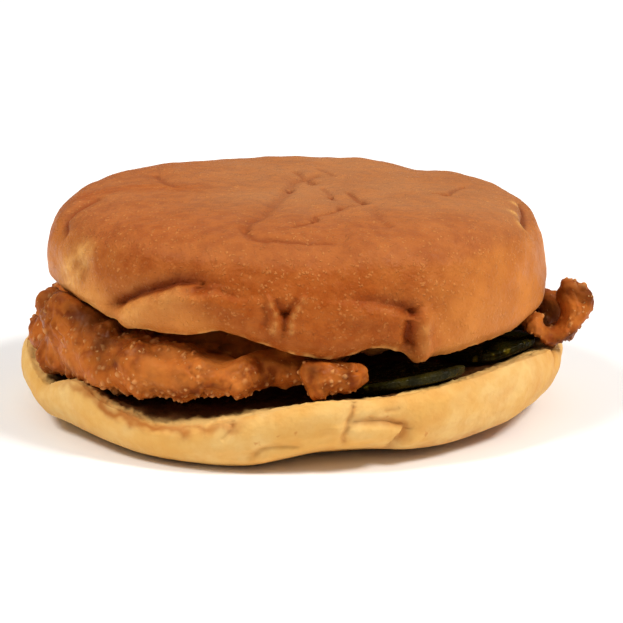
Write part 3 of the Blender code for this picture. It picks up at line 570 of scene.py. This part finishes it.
def bottom_bun_shape(directions):
    azimuth, share = angles(directions)
    share = 1 - share
    reach, height = along(BOTTOM_BUN_SIDE, np.clip(share / SIDE_SHARE, 0.0, 1.0)).T
    inner = np.clip((share - SIDE_SHARE) / (1 - SIDE_SHARE), 0.0, 1.0)
    reach = reach * (1 - inner)
    radius = BOTTOM_BUN_RADIUS * around(BOTTOM_BUN_PLAN, azimuth) * reach
    x, y = place_at(BOTTOM_BUN_CENTRE, radius, azimuth)
    base = around(BASE_CURL, azimuth) * step(*BASE_CURL_REACH, reach)
    cut = bottom_bun_cut(x, y)
    return np.column_stack([x, y, base + (cut - base) * np.where(inner > 0, 1.0, height)])


def side_places(points, centre, radius):
    """Points of a bun's side as (length round the side, height)."""
    azimuth, _ = polar(points[:, 0], points[:, 1], centre)
    return np.column_stack([np.radians(azimuth) * radius, points[:, 2]])


def side_path(table, radius):
    return np.array([(math.radians(azimuth) * radius, height) for azimuth, height in table])


def nearest(places, path):
    """How near each place is to a smooth path: its distance, the share of the path's length there, and
    how far above the path it lies.
    """
    marks = np.linspace(0, 1, 8 * len(path))
    route = along(path, marks)
    best = np.full(len(places), np.inf)
    share = np.zeros(len(places))
    above = np.zeros(len(places))
    for start, a, b in zip(marks, route[:-1], route[1:]):
        run = b - a
        part = np.clip((places - a) @ run / (run @ run), 0.0, 1.0)
        offset = places - a - part[:, None] * run
        distance = np.linalg.norm(offset, axis=1)
        closer = distance < best
        best[closer] = distance[closer]
        share[closer] = start + part[closer] * marks[1]
        above[closer] = offset[closer, -1]
    return best, share, above


def fold(places, table, width, depth_start, depth_end, swelling):
    """How far a fold moves the crust outwards, and how dark its painted shade is, at each place."""
    distance, share, above = nearest(places, table)
    depth = depth_start + (depth_end - depth_start) * share
    reach, lip = width, 0.0
    if swelling:
        # the crust rolls slowly into the fold from above and stands up steeply below it
        reach = width * np.where(above > 0, FOLD_REACH_ABOVE, FOLD_REACH_BELOW)
        lip = swelling * falloff(distance - SWELLING_PLACE * width, SWELLING_WIDTH * width)
        lip *= step(0.0, FOLD_REACH_BELOW * width, -above)
    groove = falloff(distance, reach, FOLD_STEEPNESS)
    ends = 0.5 + 0.5 * step(0.0, FOLD_END_SHARE, share) * step(0.0, FOLD_END_SHARE, 1 - share)
    dark = np.clip(depth / FULLY_DARK_DEPTH, 0, 1) * falloff(distance, SHADE_REACH * reach, SHADE_STEEPNESS)
    return (lip - depth * groove) * ends, dark * ends


def pressed(folds, places, radius):
    """How far the folds of a bun's side move its crust outwards, and how dark their painted shade is, at each
    place.
    """
    moved = np.zeros(len(places))
    dark = np.zeros(len(places))
    for table, *sizes in folds:
        shift, shade = fold(places, side_path(table, radius), *sizes)
        moved += shift
        dark = np.maximum(dark, shade)
    return moved, dark


def close_to(paths, places):
    """Whether each place lies close to one of the paths."""
    found = np.zeros(len(places), bool)
    for path in paths:
        found |= nearest(places, path)[0] < FINE_REACH
    return found


def top_bun_is_fine(points):
    side = close_to([side_path(row[0], TOP_BUN_RADIUS) for row in TOP_BUN_FOLDS],
                    side_places(points, TOP_BUN_CENTRE, TOP_BUN_RADIUS))
    top = close_to([np.array(row[0]) for row in TOP_CREASES], points[:, :2])
    shoulder = close_to([np.array(row[0]) for row in SHOULDER_FOLDS], points)
    _, reach = polar(points[:, 0], points[:, 1], TOP_BUN_CENTRE)
    return (side & (reach > FINE_SIDE * TOP_BUN_RADIUS)) | (top & (points[:, 2] > FINE_TOP_HEIGHT)) | shoulder


def bottom_bun_is_fine(points):
    side = close_to([side_path(row[0], BOTTOM_BUN_RADIUS) for row in BOTTOM_BUN_FOLDS],
                    side_places(points, BOTTOM_BUN_CENTRE, BOTTOM_BUN_RADIUS))
    azimuth, reach = polar(points[:, 0], points[:, 1], BOTTOM_BUN_CENTRE)
    rim = np.abs(points[:, 2] - around(BOTTOM_BUN_EDGE, azimuth)) < RIM_REACH
    return (side | (rim & (points[:, 1] < 0))) & (reach > FINE_SIDE * BOTTOM_BUN_RADIUS)


def top_bun_side(points, side, strayed):
    """How far the folds and the pinch move the top half's side outwards, and how dark the painted shade in
    the folds is.
    """
    places = side_places(points, TOP_BUN_CENTRE, TOP_BUN_RADIUS)
    shift, dark = pressed(TOP_BUN_FOLDS, places + strayed, TOP_BUN_RADIUS)
    table, width, height = PINCH
    distance, _, _ = nearest(places, side_path(table, TOP_BUN_RADIUS))
    return side * (shift + height * falloff(distance, width)), side * dark


def top_bun_shoulder(points):
    """How far the folds and dents move the top half's shoulder outwards, and how dark the painted shade in
    its folds is.
    """
    shift, dark = -spots(points, TOP_BUN_DENTS), np.zeros(len(points))
    for path, width, depth in SHOULDER_FOLDS:
        distance, _, _ = nearest(points, np.array(path))
        shift -= depth * falloff(distance, width, FOLD_STEEPNESS)
        dark = np.maximum(dark, SHOULDER_DARKNESS * falloff(distance, SHOULDER_SHADE * width))
    return shift, dark


def top_bun_creases(places, upper):
    """How far the creases and pits move the top outwards, and how dark the painted shade in them is."""
    shift, dark = np.zeros(len(places)), np.zeros(len(places))
    for path, width, depth, darkness in TOP_CREASES:
        distance, _, _ = nearest(places, np.array(path))
        shift -= depth * falloff(distance, width, FOLD_STEEPNESS)
        dark = np.maximum(dark, darkness * falloff(distance, CREASE_SHADE * width))
    for x, y, radius, depth in TOP_PITS:
        near = falloff(places[:, 0] - x, PIT_ACROSS * radius) * falloff(places[:, 1] - y, PIT_ALONG * radius)
        shift -= depth * near
        dark = np.maximum(dark, near)
    return upper * shift, upper * dark


def mark_baking(mesh, points, slope, torn, strayed):
    """Marks how golden and how pale the crust of the top half is, and the painted sheen on its upward-facing
    top.
    """
    azimuth, _ = polar(points[:, 0], points[:, 1], TOP_BUN_CENTRE)
    high = around([(a, tan) for a, tan, _ in TOP_BUN_TAN], azimuth)
    low = around([(a, tan) for a, _, tan in TOP_BUN_TAN], azimuth)
    tan = low + (high - low) * step(*TAN_HEIGHTS, points[:, 2])
    mark(mesh, "tan", tan * (1 - TOP_TAN_LOSS * step(*TAN_SLOPES, slope)))
    strayed = np.column_stack([strayed, strayed[:, 0]])
    path, width = TOP_BUN_STREAK
    distance, _, _ = nearest(points + STREAK_STRAYING * strayed, np.array(path))
    # the greyer colour of the upward-facing top is a painted sheen
    baked = step(*BAKED_SLOPES, slope) * (1 - STREAK_STRENGTH * falloff(distance, width))
    for axis, start, end, lost in BAKED_FADES:
        baked *= 1 - lost * step(start, end, points[:, axis])
    mark(mesh, "baked", baked)
    flaky = FLAKE_SHARE * torn * step(*FLAKE_RANGE, lumps(points, *FLAKES))
    mark(mesh, "pale", np.clip(spots(points + strayed, TOP_BUN_PALE) + flaky, 0, 1))


def top_bun(name):
    mesh, directions = shaped(name, TOP_BUN_GRID, top_bun_shape, top_bun_is_fine)
    points, out = get_points(mesh), normals(mesh)
    _, share = angles(directions)
    crumb = step(SIDE_SHARE, SIDE_SHARE + TOP_CRUMB_START, share)
    torn = falloff(share - SIDE_SHARE, TOP_TORN_WIDTH)
    _, reach = polar(points[:, 0], points[:, 1], TOP_BUN_CENTRE)
    side = (1 - crumb) * step(*TOP_BUN_SIDE_REACH, reach / TOP_BUN_RADIUS)
    upper = step(*CREASED_SLOPES, out[:, 2])
    strayed = straying(points)
    side_shift, side_dark = top_bun_side(points, side, strayed)
    shoulder_shift, shoulder_dark = top_bun_shoulder(points)
    top_shift, top_dark = top_bun_creases(points[:, :2] + CREASE_STRAYING * strayed, upper)
    shift = side_shift + shoulder_shift + top_shift + (1 - crumb) * relief(points, TOP_BUN_SKIN)
    shift += np.maximum(crumb, TOP_TORN_RELIEF * torn) * relief(points, TOP_BUN_CRUMB)
    set_points(mesh, points + out * shift[:, None] + PLACE)
    mark_baking(mesh, points, out[:, 2], torn, strayed)
    # painted shade in the folds, creases and pits
    mark(mesh, "fold", np.maximum(np.maximum(side_dark, shoulder_dark), top_dark))
    mark(mesh, "crumb", crumb)
    return mesh


def bottom_bun_side(points, side):
    """How far folds, wrinkles and lumps move the bottom half's side outwards, and the painted shade in its
    folds.
    """
    places = side_places(points, BOTTOM_BUN_CENTRE, BOTTOM_BUN_RADIUS)
    shift, dark = pressed(BOTTOM_BUN_FOLDS, places + straying(points), BOTTOM_BUN_RADIUS)
    drawn_out = np.column_stack([WRINKLE_SQUEEZE * places[:, 0], places[:, 1], np.zeros(len(places))])
    wrinkled = step(*WRINKLE_RANGE, lumps(points, *WRINKLE_PATCHES))
    shift += relief(points, BOTTOM_BUN_SKIN) + wrinkled * relief(drawn_out, WRINKLES)
    return side * shift, side * dark


def mark_soaking(mesh, points, azimuth, reach, crumb):
    """Marks how greasy and toasted the bottom half is, and its darker crumb under the fillet: soaked crumb
    and painted shade.
    """
    ragged = relief(points, RAGGED_RIM)
    depth = SOAKED_FROM * BOTTOM_BUN_RADIUS - reach + ragged
    dry = around(BOTTOM_BUN_DRY, azimuth)
    mark(mesh, "soaked", crumb * step(dry, dry + SOAKED_SOFTNESS, depth))
    rim = falloff(points[:, 2] - around(BOTTOM_BUN_EDGE, azimuth) + GREASE_DEPTH + ragged, GREASE_WIDTH)
    greasy = np.clip(around(BOTTOM_BUN_GREASE, azimuth), 0, 1)
    mark(mesh, "grease", greasy * rim * step(*GREASE_REACH, reach / BOTTOM_BUN_RADIUS))
    toasted = np.clip(around(BOTTOM_BUN_TOAST, azimuth), 0, 1)
    mark(mesh, "toast", toasted * np.maximum(step(*TOAST_HEIGHTS, points[:, 2] + ragged), TOAST_LEAST))


def bottom_bun(name):
    mesh, directions = shaped(name, BOTTOM_BUN_GRID, bottom_bun_shape, bottom_bun_is_fine)
    points, out = get_points(mesh), normals(mesh)
    _, share = angles(directions)
    inner = (1 - share - SIDE_SHARE) / (1 - SIDE_SHARE)
    crumb = step(0.0, BOTTOM_CRUMB_START, inner)
    torn = falloff(inner, BOTTOM_TORN_WIDTH)
    azimuth, reach = polar(points[:, 0], points[:, 1], BOTTOM_BUN_CENTRE)
    edge = BOTTOM_BUN_RADIUS * around(BOTTOM_BUN_PLAN, azimuth)
    side = (1 - crumb) * step(*BOTTOM_BUN_SIDE_REACH, reach / edge)
    shift, dark = bottom_bun_side(points, side)
    shift += np.maximum(crumb, BOTTOM_TORN_RELIEF * torn) * relief(points, BOTTOM_BUN_CRUMB)
    points = points + out * shift[:, None]
    points[:, 2] = np.maximum(points[:, 2], 0.0)
    set_points(mesh, points + PLACE)
    mark_soaking(mesh, points, azimuth, reach, crumb)
    # painted shade in the folds
    mark(mesh, "fold", dark)
    mark(mesh, "crumb", crumb)
    return mesh


# Pickle and fillet

def pickle(name, centre, radius):
    def shape(directions):
        azimuth, share = angles(directions)
        reach, height = along(PICKLE_SIDE, share).T
        wavy = radius * (1 + PICKLE_WAVE * np.cos(np.radians(PICKLE_WAVES * azimuth)))
        x, y = place_at(centre, wavy * reach, azimuth)
        return np.column_stack([x, y, bottom_bun_cut(x, y) + GAP + PICKLE_THICKNESS * height])

    mesh, _ = shaped(name, PICKLE_GRID, shape)
    set_points(mesh, get_points(mesh) + PLACE)
    return mesh


def finer_where_seen(mesh):
    """Cuts the faces of the fillet's open edge smaller, more so at the front."""
    bm = bmesh.new()
    bm.from_mesh(mesh)
    subdivide(bm, [math.hypot(v.co.x, v.co.y) > FILLET_EXPOSED_REACH for v in bm.verts], 1)
    bm.verts.index_update()
    front = [math.hypot(v.co.x, v.co.y) > FILLET_EXPOSED_REACH and v.co.y < FILLET_FRONT for v in bm.verts]
    subdivide(bm, front, 1)
    bm.to_mesh(mesh)
    bm.free()


def nodules(points, spacing, seed):
    """Height from 0 to 1 of round nodules, in about half of the places for one."""
    heights = []
    for p in (points / spacing + seed).tolist():
        distances, centres = noise.voronoi(p)
        size = NODULE_SIZE + NODULE_SIZE_RANGE * noise.noise(centres[0] * NODULE_SIZE_NOISE)
        keep = noise.noise(centres[0] * NODULE_PLACE_NOISE) > 0.0
        heights.append(max(0.0, 1 - (distances[0] / size) ** 2) ** 0.5 if keep else 0.0)
    return np.array(heights)


def fillet_base(name):
    """The fillet's solid with small even faces, finer along its open edge."""
    obj = bpy.data.objects.new(name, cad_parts["chicken_fillet"].data.copy())
    bpy.context.scene.collection.objects.link(obj)
    remesh = obj.modifiers.new("Even faces", "REMESH")
    remesh.mode = "VOXEL"
    remesh.voxel_size = FILLET_VOXEL
    mesh = evaluated(obj)
    bpy.data.objects.remove(obj)
    before, after = FILLET_SMOOTHING
    set_points(mesh, neighbour_mean(mesh, get_points(mesh), before))
    finer_where_seen(mesh)
    set_points(mesh, neighbour_mean(mesh, get_points(mesh), after))
    return mesh


def breading_shift(points, round_bits):
    """How far crags between rounded creases, lumps, grain and nodules move the breading outwards."""
    crags = 2 * np.sqrt(lumps(points, *CRAGS) ** 2 + CRAG_ROUNDING) - CRAG_LOWERING
    small = 2 * np.abs(lumps(points, *LUMPS)) - LUMP_LOWERING
    rough = step(*ROUGH_RANGE, lumps(points, *ROUGH_PATCHES))
    (lump, rough_lump), (grain, rough_grain) = LUMP_HEIGHTS, GRAIN_HEIGHTS
    fine = (lump + (rough_lump - lump) * rough) * small
    fine += (grain + (rough_grain - grain) * rough) * lumps(points, *GRAIN)
    return CRAG_HEIGHT * crags + fine + NODULE_HEIGHT * round_bits


def fillet(name):
    mesh = fillet_base(name)
    points, out = get_points(mesh), normals(mesh)
    crusty = np.maximum(step(*NODULE_RANGE, lumps(points, *NODULE_PATCHES)),
                        UNDERSIDE_SHARE * step(*UNDERSIDE_SLOPES, out[:, 2]))
    round_bits = np.maximum(*[nodules(points, *sizes) for sizes in NODULES]) * crusty
    set_points(mesh, points + out * breading_shift(points, round_bits)[:, None])
    mark(mesh, "hollow", np.clip(hollows(mesh, HOLLOW_ROUNDS) / HOLLOW_DEPTH, -1, 1))
    mark(mesh, "nodule", round_bits)
    tones = [(math.radians(azimuth) * FILLET_REACH, *rest) for azimuth, *rest in FILLET_TONES]
    tone = spots(side_places(points - PLACE, (0.0, 0.0), FILLET_REACH), tones)
    # darker: the breading's own dark patches and painted shade; lighter: its pale patches and painted light
    mark(mesh, "dark", np.clip(tone, 0, 1))
    mark(mesh, "light", np.clip(-tone, 0, 1))
    return mesh


# Materials

# Colours, as red, green and blue from 0 to 255
# Of the next three, the greyish top colour is a painted sheen on the upward-facing top
GLAZE_BROWN, GLAZE_GOLDEN, GLAZE_BAKED = (150, 69, 15), (202, 124, 54), (164, 105, 61)
# Of the next three, the speck colour is partly pale specks of the crust and partly painted glints
GLAZE_DARKER, GLAZE_LIGHTER, GLAZE_SPECK = (138, 68, 22), (196, 116, 52), (240, 166, 92)
# Of the next three, the pale colour is partly pale patches and flakes and partly painted highlights on ridges
GLAZE_PALE, GLAZE_FOLD, GLAZE_CRUMB = (228, 168, 92), (112, 38, 4), (214, 170, 104)
BREAD, BREAD_LIGHTER, BREAD_DARKER = (221, 171, 93), (227, 188, 118), (214, 152, 68)
BREAD_SPECK, BREAD_TOAST, BREAD_FOLD = (190, 110, 44), (188, 112, 58), (160, 88, 34)
# Of the next three, the soaked colour is partly soaked crumb and partly painted shade under the fillet
BREAD_CRUMB, BREAD_SOAKED, BREAD_GREASE = (216, 174, 104), (76, 42, 16), (160, 84, 22)
FRIED_DARK, FRIED_LIGHT, FRIED_LIGHTER = (116, 48, 9), (172, 89, 30), (196, 114, 42)
# Of the next three, the hollow colour is a painted shade in the breading's hollows
FRIED_HOLLOW, FRIED_RAISED, FRIED_NODULE = (70, 24, 5), (206, 126, 52), (224, 164, 102)
# Of the next three, the first is darker breading and painted shade, the second paler patches and painted
# light
FRIED_SHADE, FRIED_PATCH, FRIED_GLINT = (72, 28, 4), (198, 122, 56), (238, 184, 118)
# Pickle colours: its dark green, darkened further as painted shade, and olive flecks that are partly painted
# highlights
PICKLE_DARK, PICKLE_GREEN, PICKLE_SPECK = (20, 18, 3), (46, 40, 6), (124, 110, 20)
# Tints of the gloss
GLAZE_TINT, BREAD_TINT = (1.0, 0.85, 0.65, 1.0), (1.0, 0.9, 0.7, 1.0)
FRIED_TINT, PICKLE_TINT = (1.0, 0.8, 0.6, 1.0), (1.0, 0.95, 0.7, 1.0)
# Bends of a speck's outline in its spacing, and the share of its radius that is full
SPECK_BENDS, SPECK_CORE = 1.5, 0.4
# How far the pattern moves on with each seed
PATTERN_SHIFT = (0.37, 0.11, -0.23)


def linear(colour):
    """Linear values of a colour given as 0 to 255."""
    return [((c / 255 + 0.055) / 1.055) ** 2.4 if c > 10 else c / 3294 for c in colour] + [1.0]


class Finish:
    """A material that is built by short calls, each of which gives a socket to use."""

    def __init__(self, name):
        self.material = bpy.data.materials.new(name)
        self.material.use_nodes = True
        self.tree = self.material.node_tree
        self.shader = self.tree.nodes["Principled BSDF"]
        self.place = self.tree.nodes.new("ShaderNodeTexCoord").outputs["Object"]

    def node(self, kind, values, **settings):
        made = self.tree.nodes.new(kind)
        for key, value in settings.items():
            setattr(made, key, value)
        for key, value in values.items():
            self.feed(made.inputs[key], value)
        return made

    def feed(self, socket, value):
        if isinstance(value, bpy.types.NodeSocket):
            self.tree.links.new(value, socket)
        else:
            socket.default_value = value

    def value(self, name):
        """What a mesh keeps under this name."""
        return self.node("ShaderNodeAttribute", {}, attribute_name=name).outputs["Fac"]

    def spread(self, value, low, high):
        """0 where a value is low, 1 where it is high and smooth between."""
        values = {"Value": value, "From Min": low, "From Max": high}
        return self.node("ShaderNodeMapRange", values, interpolation_type="SMOOTHSTEP").outputs[0]

    def sum(self, a, b):
        return self.node("ShaderNodeMath", {0: a, 1: b}, operation="ADD").outputs[0]

    def times(self, a, b):
        return self.node("ShaderNodeMath", {0: a, 1: b}, operation="MULTIPLY").outputs[0]

    def moved(self, seed):
        values = {0: self.place, 1: [shift * seed for shift in PATTERN_SHIFT]}
        return self.node("ShaderNodeVectorMath", values, operation="ADD").outputs[0]

    def noise(self, size, seed, detail=3.0, low=0.35, high=0.65):
        """Cloudy noise from 0 to 1, with clouds of this size."""
        values = {"Vector": self.moved(seed), "Scale": 1 / size, "Detail": detail}
        return self.spread(self.node("ShaderNodeTexNoise", values).outputs[0], low, high)

    def specks(self, spacing, seed, radius, share):
        """Irregular specks, their radius a share of their spacing, in this share of the places for one."""
        values = {"Vector": self.place, "Scale": SPECK_BENDS / spacing}
        clouds = self.node("ShaderNodeTexNoise", values).outputs["Color"]
        values = {0: clouds, 1: (spacing,) * 3, 2: self.moved(seed)}
        bent = self.node("ShaderNodeVectorMath", values, operation="MULTIPLY_ADD").outputs[0]
        found = self.node("ShaderNodeTexVoronoi", {"Vector": bent, "Scale": 1 / spacing})
        is_one = self.node("ShaderNodeMath", {0: found.outputs["Color"], 1: share}, operation="LESS_THAN")
        spread = self.spread(found.outputs["Distance"], radius, SPECK_CORE * radius)
        return self.times(is_one.outputs[0], spread)

    def mix(self, share, a, b):
        """Colour a, with this share of colour b."""
        a, b = [c if isinstance(c, bpy.types.NodeSocket) else linear(c) for c in (a, b)]
        made = self.node("ShaderNodeMix", {0: share, 6: a, 7: b}, data_type="RGBA")
        return made.outputs[2]

    def bump(self, height, distance, under=None):
        values = {"Height": height, "Distance": distance, "Strength": 1.0}
        if under:
            values["Normal"] = under
        return self.node("ShaderNodeBump", values).outputs["Normal"]

    def done(self, colour, roughness, normal, **constants):
        self.feed(self.shader.inputs["Base Color"], colour)
        self.feed(self.shader.inputs["Roughness"], roughness)
        self.feed(self.shader.inputs["Normal"], normal)
        for key, value in constants.items():
            self.shader.inputs[key.replace("_", " ")].default_value = value
        return self.material


def brown_crust():
    f = Finish("Glazed brown crust")
    golden = f.sum(f.value("tan"), f.times(f.sum(f.noise(0.009, 1), -0.5), 0.35))
    colour = f.mix(f.spread(golden, 0.0, 1.0), GLAZE_BROWN, GLAZE_GOLDEN)
    # a greyer colour on the upward-facing top: a painted sheen
    colour = f.mix(f.value("baked"), colour, GLAZE_BAKED)
    colour = f.mix(f.times(f.noise(0.016, 2), 0.3), colour, GLAZE_DARKER)
    colour = f.mix(f.times(f.noise(0.0025, 3), 0.22), colour, GLAZE_LIGHTER)
    fine, coarse = f.specks(0.0009, 4, 0.42, 0.55), f.specks(0.0016, 5, 0.26, 0.45)
    specks = f.node("ShaderNodeMath", {0: fine, 1: coarse}, operation="MAXIMUM").outputs[0]
    shown = f.sum(0.04, f.times(f.noise(0.006, 6), 0.22))
    # bright specks: pale specks of the crust and painted glints
    colour = f.mix(f.times(specks, shown), colour, GLAZE_SPECK)
    shown = f.sum(0.5, f.times(f.noise(0.002, 9), 0.5))
    # pale patches and flakes, and painted highlights on the ridges of folds
    colour = f.mix(f.times(f.value("pale"), shown), colour, GLAZE_PALE)
    # painted shade in folds, creases and pits
    colour = f.mix(f.times(f.value("fold"), 0.85), colour, GLAZE_FOLD)
    colour = f.mix(f.value("crumb"), colour, GLAZE_CRUMB)
    normal = f.bump(f.noise(0.0007, 7, low=0.2, high=0.8), 0.00011)
    normal = f.bump(f.noise(0.0018, 10, low=0.2, high=0.8), 0.00014, normal)
    normal = f.bump(specks, 0.00010, normal)
    rough = f.sum(0.42, f.times(f.noise(0.003, 8), 0.16))
    return f.done(colour, rough, normal, Specular_IOR_Level=0.14, Specular_Tint=GLAZE_TINT)


def pale_crust():
    f = Finish("Pale soft crust")
    colour = f.mix(f.noise(0.014, 11), BREAD, BREAD_LIGHTER)
    colour = f.mix(f.times(f.noise(0.003, 12), 0.35), colour, BREAD_DARKER)
    specks = f.specks(0.0035, 13, 0.2, 0.25)
    colour = f.mix(f.times(specks, 0.5), colour, BREAD_SPECK)
    shown = f.sum(0.25, f.times(f.noise(0.005, 14), 0.5))
    colour = f.mix(f.times(f.value("toast"), shown), colour, BREAD_TOAST)
    # painted shade in folds
    colour = f.mix(f.times(f.value("fold"), 0.6), colour, BREAD_FOLD)
    # darker crumb under the fillet: soaked crumb and painted shade
    crumb = f.mix(f.value("soaked"), BREAD_CRUMB, BREAD_SOAKED)
    colour = f.mix(f.value("crumb"), colour, crumb)
    colour = f.mix(f.times(f.value("grease"), 0.85), colour, BREAD_GREASE)
    normal = f.bump(f.noise(0.0015, 15, low=0.2, high=0.8), 0.00014)
    rough = f.sum(0.6, f.times(f.noise(0.003, 16), 0.15))
    return f.done(colour, rough, normal, Specular_IOR_Level=0.15, Specular_Tint=BREAD_TINT)


def breading():
    f = Finish("Fried breading")
    colour = f.mix(f.noise(0.006, 21), FRIED_DARK, FRIED_LIGHT)
    colour = f.mix(f.times(f.noise(0.0018, 22), 0.4), colour, FRIED_LIGHTER)
    hollow = f.value("hollow")
    # painted shade in the hollows
    colour = f.mix(f.times(f.spread(hollow, 0.1, 0.9), 0.8), colour, FRIED_HOLLOW)
    colour = f.mix(f.times(f.spread(hollow, -0.2, -1.0), 0.35), colour, FRIED_RAISED)
    colour = f.mix(f.times(f.value("nodule"), 0.6), colour, FRIED_NODULE)
    # darker patches and painted shade in creases, recesses and under the bun
    colour = f.mix(f.times(f.value("dark"), 0.85), colour, FRIED_SHADE)
    # paler patches and painted light on shaded lobes
    colour = f.mix(f.times(f.value("light"), 0.50), colour, FRIED_PATCH)
    glints = f.specks(0.0011, 26, 0.26, 0.35)
    colour = f.mix(f.times(glints, f.times(f.noise(0.004, 27), 0.7)), colour, FRIED_GLINT)
    normal = f.bump(f.noise(0.0010, 23, low=0.2, high=0.8), 0.00008)
    normal = f.bump(glints, 0.00012, normal)
    rough = f.sum(0.34, f.times(f.noise(0.003, 25), 0.30))
    return f.done(colour, rough, normal, Specular_IOR_Level=0.10, Specular_Tint=FRIED_TINT)


def pickle_flesh():
    f = Finish("Pickled cucumber")
    # dark green, darkened further as a painted shade
    colour = f.mix(f.noise(0.004, 31), PICKLE_DARK, PICKLE_GREEN)
    # olive flecks, partly painted highlights
    colour = f.mix(f.times(f.specks(0.0028, 32, 0.36, 0.4), 0.75), colour, PICKLE_SPECK)
    normal = f.bump(f.noise(0.0012, 33), 0.0002)
    rough = f.sum(0.25, f.times(f.noise(0.002, 34), 0.3))
    return f.done(colour, rough, normal, Specular_IOR_Level=0.10, Specular_Tint=PICKLE_TINT)


# Putting it together

def piece(name, mesh, material, slot, *nodes):
    """A finished piece that stands for nodes of the frame."""
    obj = bpy.data.objects.new(name, mesh)
    bpy.context.scene.collection.objects.link(obj)
    mesh.shade_smooth()
    mesh.materials.clear()
    mesh.materials.append(material)
    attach(obj, "root")
    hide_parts(*nodes)


def burger():
    piece("bun_top", top_bun("bun_top"), brown_crust(), "brown_crust", "top_bun")
    piece("bun_bottom", bottom_bun("bun_bottom"), pale_crust(), "pale_crust", "bottom_bun")
    piece("fillet", fillet("fillet"), breading(), "breading", "chicken_fillet")
    flesh = pickle_flesh()
    for number, (x, y, radius) in enumerate(PICKLES, 1):
        mesh = pickle(f"pickle_{number}", (x, y), radius)
        piece(f"pickle_{number}", mesh, flesh, "pickle", f"pickle_slice_{number}")


def camera():
    data = bpy.data.cameras.new("Camera")
    data.sensor_width = SENSOR_WIDTH
    data.lens = SENSOR_WIDTH * PIXELS_PER_METRE * CAMERA_DISTANCE / PHOTO_WIDTH
    data.clip_start = CLIP_START
    obj = bpy.data.objects.new("Camera", data)
    tilt = math.radians(CAMERA_ELEVATION)
    obj.location = CAMERA_TARGET + CAMERA_DISTANCE * Vector((0, -math.cos(tilt), math.sin(tilt)))
    obj.rotation_euler = (math.pi / 2 - tilt, 0, 0)
    bpy.context.scene.collection.objects.link(obj)
    bpy.context.scene.camera = obj


def lights():
    for place, size, power, colour in LIGHTS:
        data = bpy.data.lights.new("Soft light", "AREA")
        data.size = size
        data.energy = power
        data.color = colour
        light = bpy.data.objects.new("Soft light", data)
        light.location = place
        light.rotation_euler = (CAMERA_TARGET - Vector(place)).to_track_quat("-Z", "Y").to_euler()
        bpy.context.scene.collection.objects.link(light)


def surroundings():
    """Light from all round, weak at the horizon and strong overhead."""
    world = bpy.data.worlds.new("Studio")
    world.use_nodes = True
    bpy.context.scene.world = world
    tree = world.node_tree
    direction = tree.nodes.new("ShaderNodeTexCoord")
    height = tree.nodes.new("ShaderNodeSeparateXYZ")
    strength = tree.nodes.new("ShaderNodeMapRange")
    strength.inputs["To Min"].default_value = HORIZON_LIGHT
    strength.inputs["To Max"].default_value = OVERHEAD_LIGHT
    tree.links.new(direction.outputs["Generated"], height.inputs[0])
    tree.links.new(height.outputs["Z"], strength.inputs["Value"])
    tree.links.new(strength.outputs[0], tree.nodes["Background"].inputs["Strength"])
    tree.nodes["Background"].inputs["Color"].default_value = WORLD_COLOUR


def floor():
    mesh = bpy.data.meshes.new("floor")
    bm = bmesh.new()
    bmesh.ops.create_grid(bm, x_segments=1, y_segments=1, size=FLOOR_HALF_WIDTH)
    bm.to_mesh(mesh)
    bm.free()
    finish = Finish("Floor")
    mesh.materials.append(finish.done(linear(FLOOR_COLOUR), FLOOR_ROUGHNESS, finish.bump(0.0, 0.0)))
    obj = bpy.data.objects.new("floor", mesh)
    bpy.context.scene.collection.objects.link(obj)


def studio():
    lights()
    surroundings()
    floor()
    bpy.context.scene.view_settings.view_transform = "Standard"


camera()
studio()
burger()
